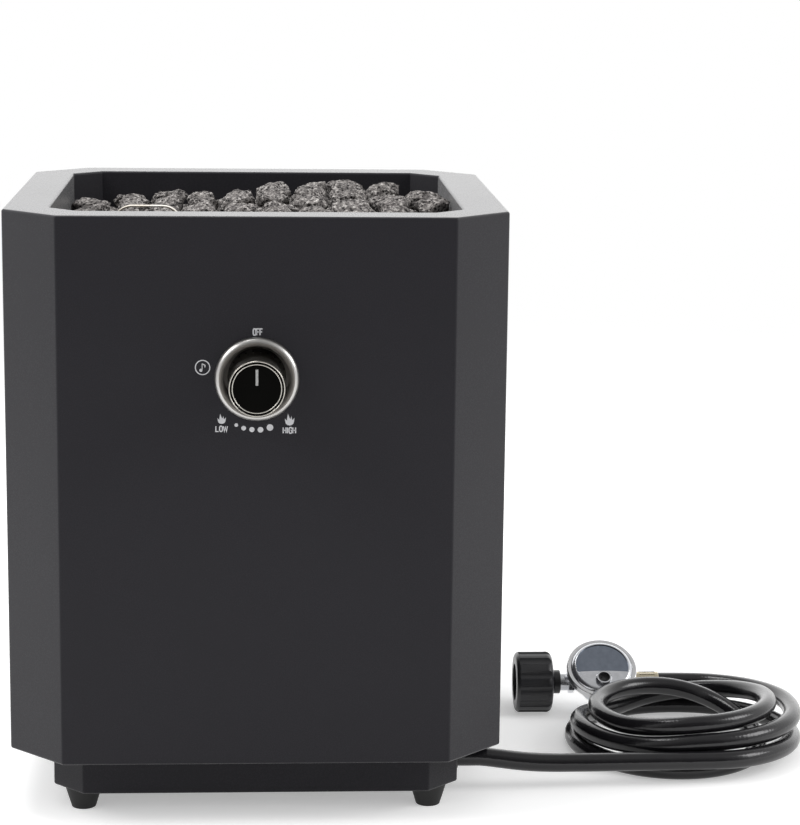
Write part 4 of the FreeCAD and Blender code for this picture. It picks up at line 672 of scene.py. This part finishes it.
# Regulator
# Polished zinc die casting under a domed cover of the same, clamped by a rolled steel ring.
# The cover leans back and has a D-shaped panel let into it, with a painted dark reflection on it.
cover_tilt = math.radians(53.0)
panel_radius = 24.45 * mm
panel_edge = -7.05 * mm
panel_floor, panel_top = 23.3 * mm, 23.9 * mm
zinc_and_painted_reflection_finish, place = new_finish("zinc_casting")
cast = grain(place, 190.0, 4.0, 0.55)
fine = grain(place, 1900.0, 2.0)
cover_low, cover_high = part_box("regulator_cover")
cover_middle = ((cover_low[0] + cover_high[0]) / 2, (end_y + back_set) * mm, last_knot[height_at] * mm)
from_middle = place.node("VectorMath", {"operation": "SUBTRACT"}, {0: place, 1: cover_middle})
cover_x, cover_back, cover_up = [from_middle.node("SeparateXYZ", {}, {"Vector": from_middle}, axis)
                                 for axis in "XYZ"]
cover_z = cover_up * math.sin(cover_tilt) - cover_back * math.cos(cover_tilt)
cover_y = cover_up * math.cos(cover_tilt) + cover_back * math.sin(cover_tilt)
in_disc = (cover_x * cover_x + cover_y * cover_y) ** 0.5 < panel_radius
in_panel = in_disc * (cover_y > panel_edge) * (cover_z > panel_floor) * (cover_z < panel_top)
zinc_tone = blend(cast, (0.56, 0.57, 0.60), (0.74, 0.75, 0.77))
# Painted reflection: the D-shaped panel is coloured dark blue-grey for the dark room the polished
# cover mirrors.
painted_reflection_tone = blend(cast, (0.16, 0.18, 0.22), (0.25, 0.28, 0.33))
finished(place, {
    "Base Color": blend(in_panel, zinc_tone, painted_reflection_tone),
    "Metallic": 1.0,
    "Roughness": cast * 0.14 + fine * 0.06 + 0.12,
    "Normal": bump(cast + fine * 0.3, 0.00006, 0.35),
})
paint("regulator_body", zinc_and_painted_reflection_finish)
paint("regulator_cover", zinc_and_painted_reflection_finish)

clamp_finish, place = new_finish("clamp_steel")
band = grain(place, 240.0, 3.0)
finished(place, {
    "Base Color": blend(band, (0.66, 0.66, 0.67), (0.80, 0.80, 0.81)),
    "Metallic": 1.0,
    "Roughness": band * 0.14 + 0.14,
    "Normal": bump(band, 0.00003, 0.3),
})
paint("regulator_clamp_ring", clamp_finish)

# Hand nut
# Matt black moulded nut with scalloped grips and a threaded mouth. It turns on the brass nose
# and is spun on the cylinder's valve by hand.
nut_finish, place = new_finish("nut_plastic")
nut_grain = grain(place, 1700.0, 3.0)
wear = grain(place, 75.0, 4.0, 0.6)
finished(place, {
    "Base Color": blend(wear, (0.010, 0.010, 0.012), (0.026, 0.026, 0.029)),
    "Roughness": wear * 0.14 + nut_grain * 0.1 + 0.22,
    "Normal": bump(nut_grain, 0.00008, 0.5),
})
paint("coupling_nut", nut_finish)

# Marks on the front
# Pad-printed pale grey: OFF above the knob, a flame and a word for low and high below it
# with five growing dots between, and a note in a ring at the left.
print_depth = 0.03 * mm
sharpest_mitre = 0.35
print_finish, place = new_finish("print_grey")
ink = grain(place, 1500.0, 2.0)
finished(place, {
    "Base Color": blend(ink, (0.50, 0.50, 0.52), (0.68, 0.68, 0.70)),
    "Roughness": ink * 0.2 + 0.45,
    "Normal": bump(ink, 0.00001, 0.3),
})


class Print:
    """Flat printed shapes on the front, gathered in one mesh; x and z are mm from the knob."""

    def __init__(self):
        self.mesh = bmesh.new()

    def plate(self, points):
        front, back = [[self.mesh.verts.new((knob_centre.x + x * mm, knob_centre.y + depth,
                                             knob_centre.z + z * mm)) for x, z in points]
                       for depth in (-print_depth, print_depth)]
        self.mesh.faces.new(front)
        self.mesh.faces.new(back[::-1])
        for i in range(len(points)):
            self.mesh.faces.new((front[i - 1], back[i - 1], back[i], front[i]))

    def stroke(self, points, width, closed=False):
        """A band of even width along a line of points, mitred at its corners."""
        count = len(points)
        sides = []
        for i, (x, z) in enumerate(points):
            back = points[i - 1] if closed or i > 0 else None
            ahead = points[(i + 1) % count] if closed or i < count - 1 else None
            into = Vector((x - back[0], z - back[1])).normalized() if back else None
            away = Vector((ahead[0] - x, ahead[1] - z)).normalized() if ahead else None
            into = into or away
            away = away or into
            mid = (into + away).normalized()
            reach = mid * (width / 2 / max(sharpest_mitre, mid.dot(into)))
            sides.append(((x - reach.y, z + reach.x), (x + reach.y, z - reach.x)))
        for i in range(count if closed else count - 1):
            (a_left, a_right), (b_left, b_right) = sides[i], sides[(i + 1) % count]
            self.plate([a_left, a_right, b_right, b_left])

    def disc(self, x, z, radius, sides=28):
        ring = [2 * math.pi * i / sides for i in range(sides)]
        self.plate([(x + radius * math.cos(a), z + radius * math.sin(a)) for a in ring])

    def ring(self, x, z, radius, width, sides=48):
        turns = [2 * math.pi * i / sides for i in range(sides)]
        self.stroke([(x + radius * math.cos(a), z + radius * math.sin(a)) for a in turns],
                    width, closed=True)

    def done(self, name):
        bmesh.ops.recalc_face_normals(self.mesh, faces=self.mesh.faces)
        mesh = bpy.data.meshes.new(name)
        self.mesh.to_mesh(mesh)
        self.mesh.free()
        return add_mesh(name, mesh, print_finish, "fire_pit")


box_ring = [(0.0, 0.22), (0.0, 0.78), (0.26, 1.0), (0.74, 1.0), (1.0, 0.78), (1.0, 0.22),
            (0.74, 0.0), (0.26, 0.0)]
letters = {
    "O": [(box_ring, True)],
    "F": [([(0.0, 0.0), (0.0, 1.0), (1.0, 1.0)], False), ([(0.0, 0.52), (0.84, 0.52)], False)],
    "L": [([(0.0, 1.0), (0.0, 0.0), (1.0, 0.0)], False)],
    "W": [([(0.0, 1.0), (0.25, 0.0), (0.5, 0.8), (0.75, 0.0), (1.0, 1.0)], False)],
    "H": [([(0.0, 0.0), (0.0, 1.0)], False), ([(1.0, 0.0), (1.0, 1.0)], False),
          ([(0.0, 0.5), (1.0, 0.5)], False)],
    "I": [([(0.5, 0.0), (0.5, 1.0)], False)],
    "G": [([(1.0, 0.78), (0.74, 1.0), (0.26, 1.0), (0.0, 0.78), (0.0, 0.22), (0.26, 0.0),
            (0.74, 0.0), (1.0, 0.22), (1.0, 0.5), (0.55, 0.5)], False)],
}
letter_widths = {"W": 1.45, "I": 0.45}
letter_space = 0.34
line_share = 0.17


def word(text, middle_x, middle_z, width, height):
    """Condensed capitals of one line width, centred on a point of the front."""
    line = height * line_share
    total = sum(letter_widths.get(c, 1.0) for c in text)
    unit = (width - line) / (total + letter_space * (len(text) - 1))
    sheet = Print()
    x = middle_x - width / 2 + line / 2
    for c in text:
        wide = letter_widths.get(c, 1.0) * unit
        for points, closed in letters[c]:
            placed = [(x + px * wide, middle_z + (pz - 0.5) * (height - line)) for px, pz in points]
            sheet.stroke(placed, line, closed)
        x += wide + letter_space * unit
    return sheet.done("mark_" + text.lower())


# Middle x and z, width and height
for text, x, z, wide, high in (("OFF", 0.7, 36.9, 8.2, 6.0), ("LOW", -27.5, -39.7, 9.9, 5.1),
                               ("HIGH", 25.4, -40.9, 10.6, 5.5)):
    word(text, x, z, wide, high)

growing_dots = ((-16.1, -36.7, 1.45), (-10.3, -39.2, 1.85), (-3.9, -40.3, 2.05), (2.8, -40.4, 2.25),
                (10.2, -38.6, 2.6))
dots = Print()
for x, z, radius in growing_dots:
    dots.disc(x, z, radius)
dots.done("mark_dots")

flame_outline = [
    (0.02, -0.50), (-0.22, -0.47), (-0.38, -0.36), (-0.46, -0.18), (-0.50, 0.10), (-0.36, -0.04),
    (-0.28, -0.08), (-0.27, 0.10), (-0.23, 0.30), (-0.18, 0.52), (-0.06, 0.26), (0.04, 0.06),
    (0.10, 0.10), (0.20, 0.34), (0.22, 0.06), (0.28, -0.02), (0.36, 0.04), (0.50, 0.16),
    (0.47, -0.10), (0.40, -0.32), (0.24, -0.45),
]
for name, x, z, wide, high in (("mark_flame_low", -27.4, -31.9, 6.6, 7.7),
                               ("mark_flame_high", 25.6, -32.4, 7.5, 9.2)):
    flame = Print()
    flame.plate([(x + px * wide, z + pz * high) for px, pz in flame_outline])
    flame.done(name)

note_x, note_z = -42.2, 8.9
note_ring, note_line = 5.6, 0.8
note_head, note_head_x, note_foot = 1.25, note_x - 1.3, note_z - 2.2
stem_x, stem_top, stem_line = note_x - 0.35, note_z + 3.2, 0.6
tail = [(stem_x, note_z + 3.0), (note_x + 1.9, note_z + 1.7), (note_x + 1.8, note_z + 0.1)]
note = Print()
note.ring(note_x, note_z, note_ring, note_line)
note.disc(note_head_x, note_foot, note_head)
note.stroke([(stem_x, note_foot), (stem_x, stem_top)], stem_line)
note.stroke(tail, note_line)
note.done("mark_note")
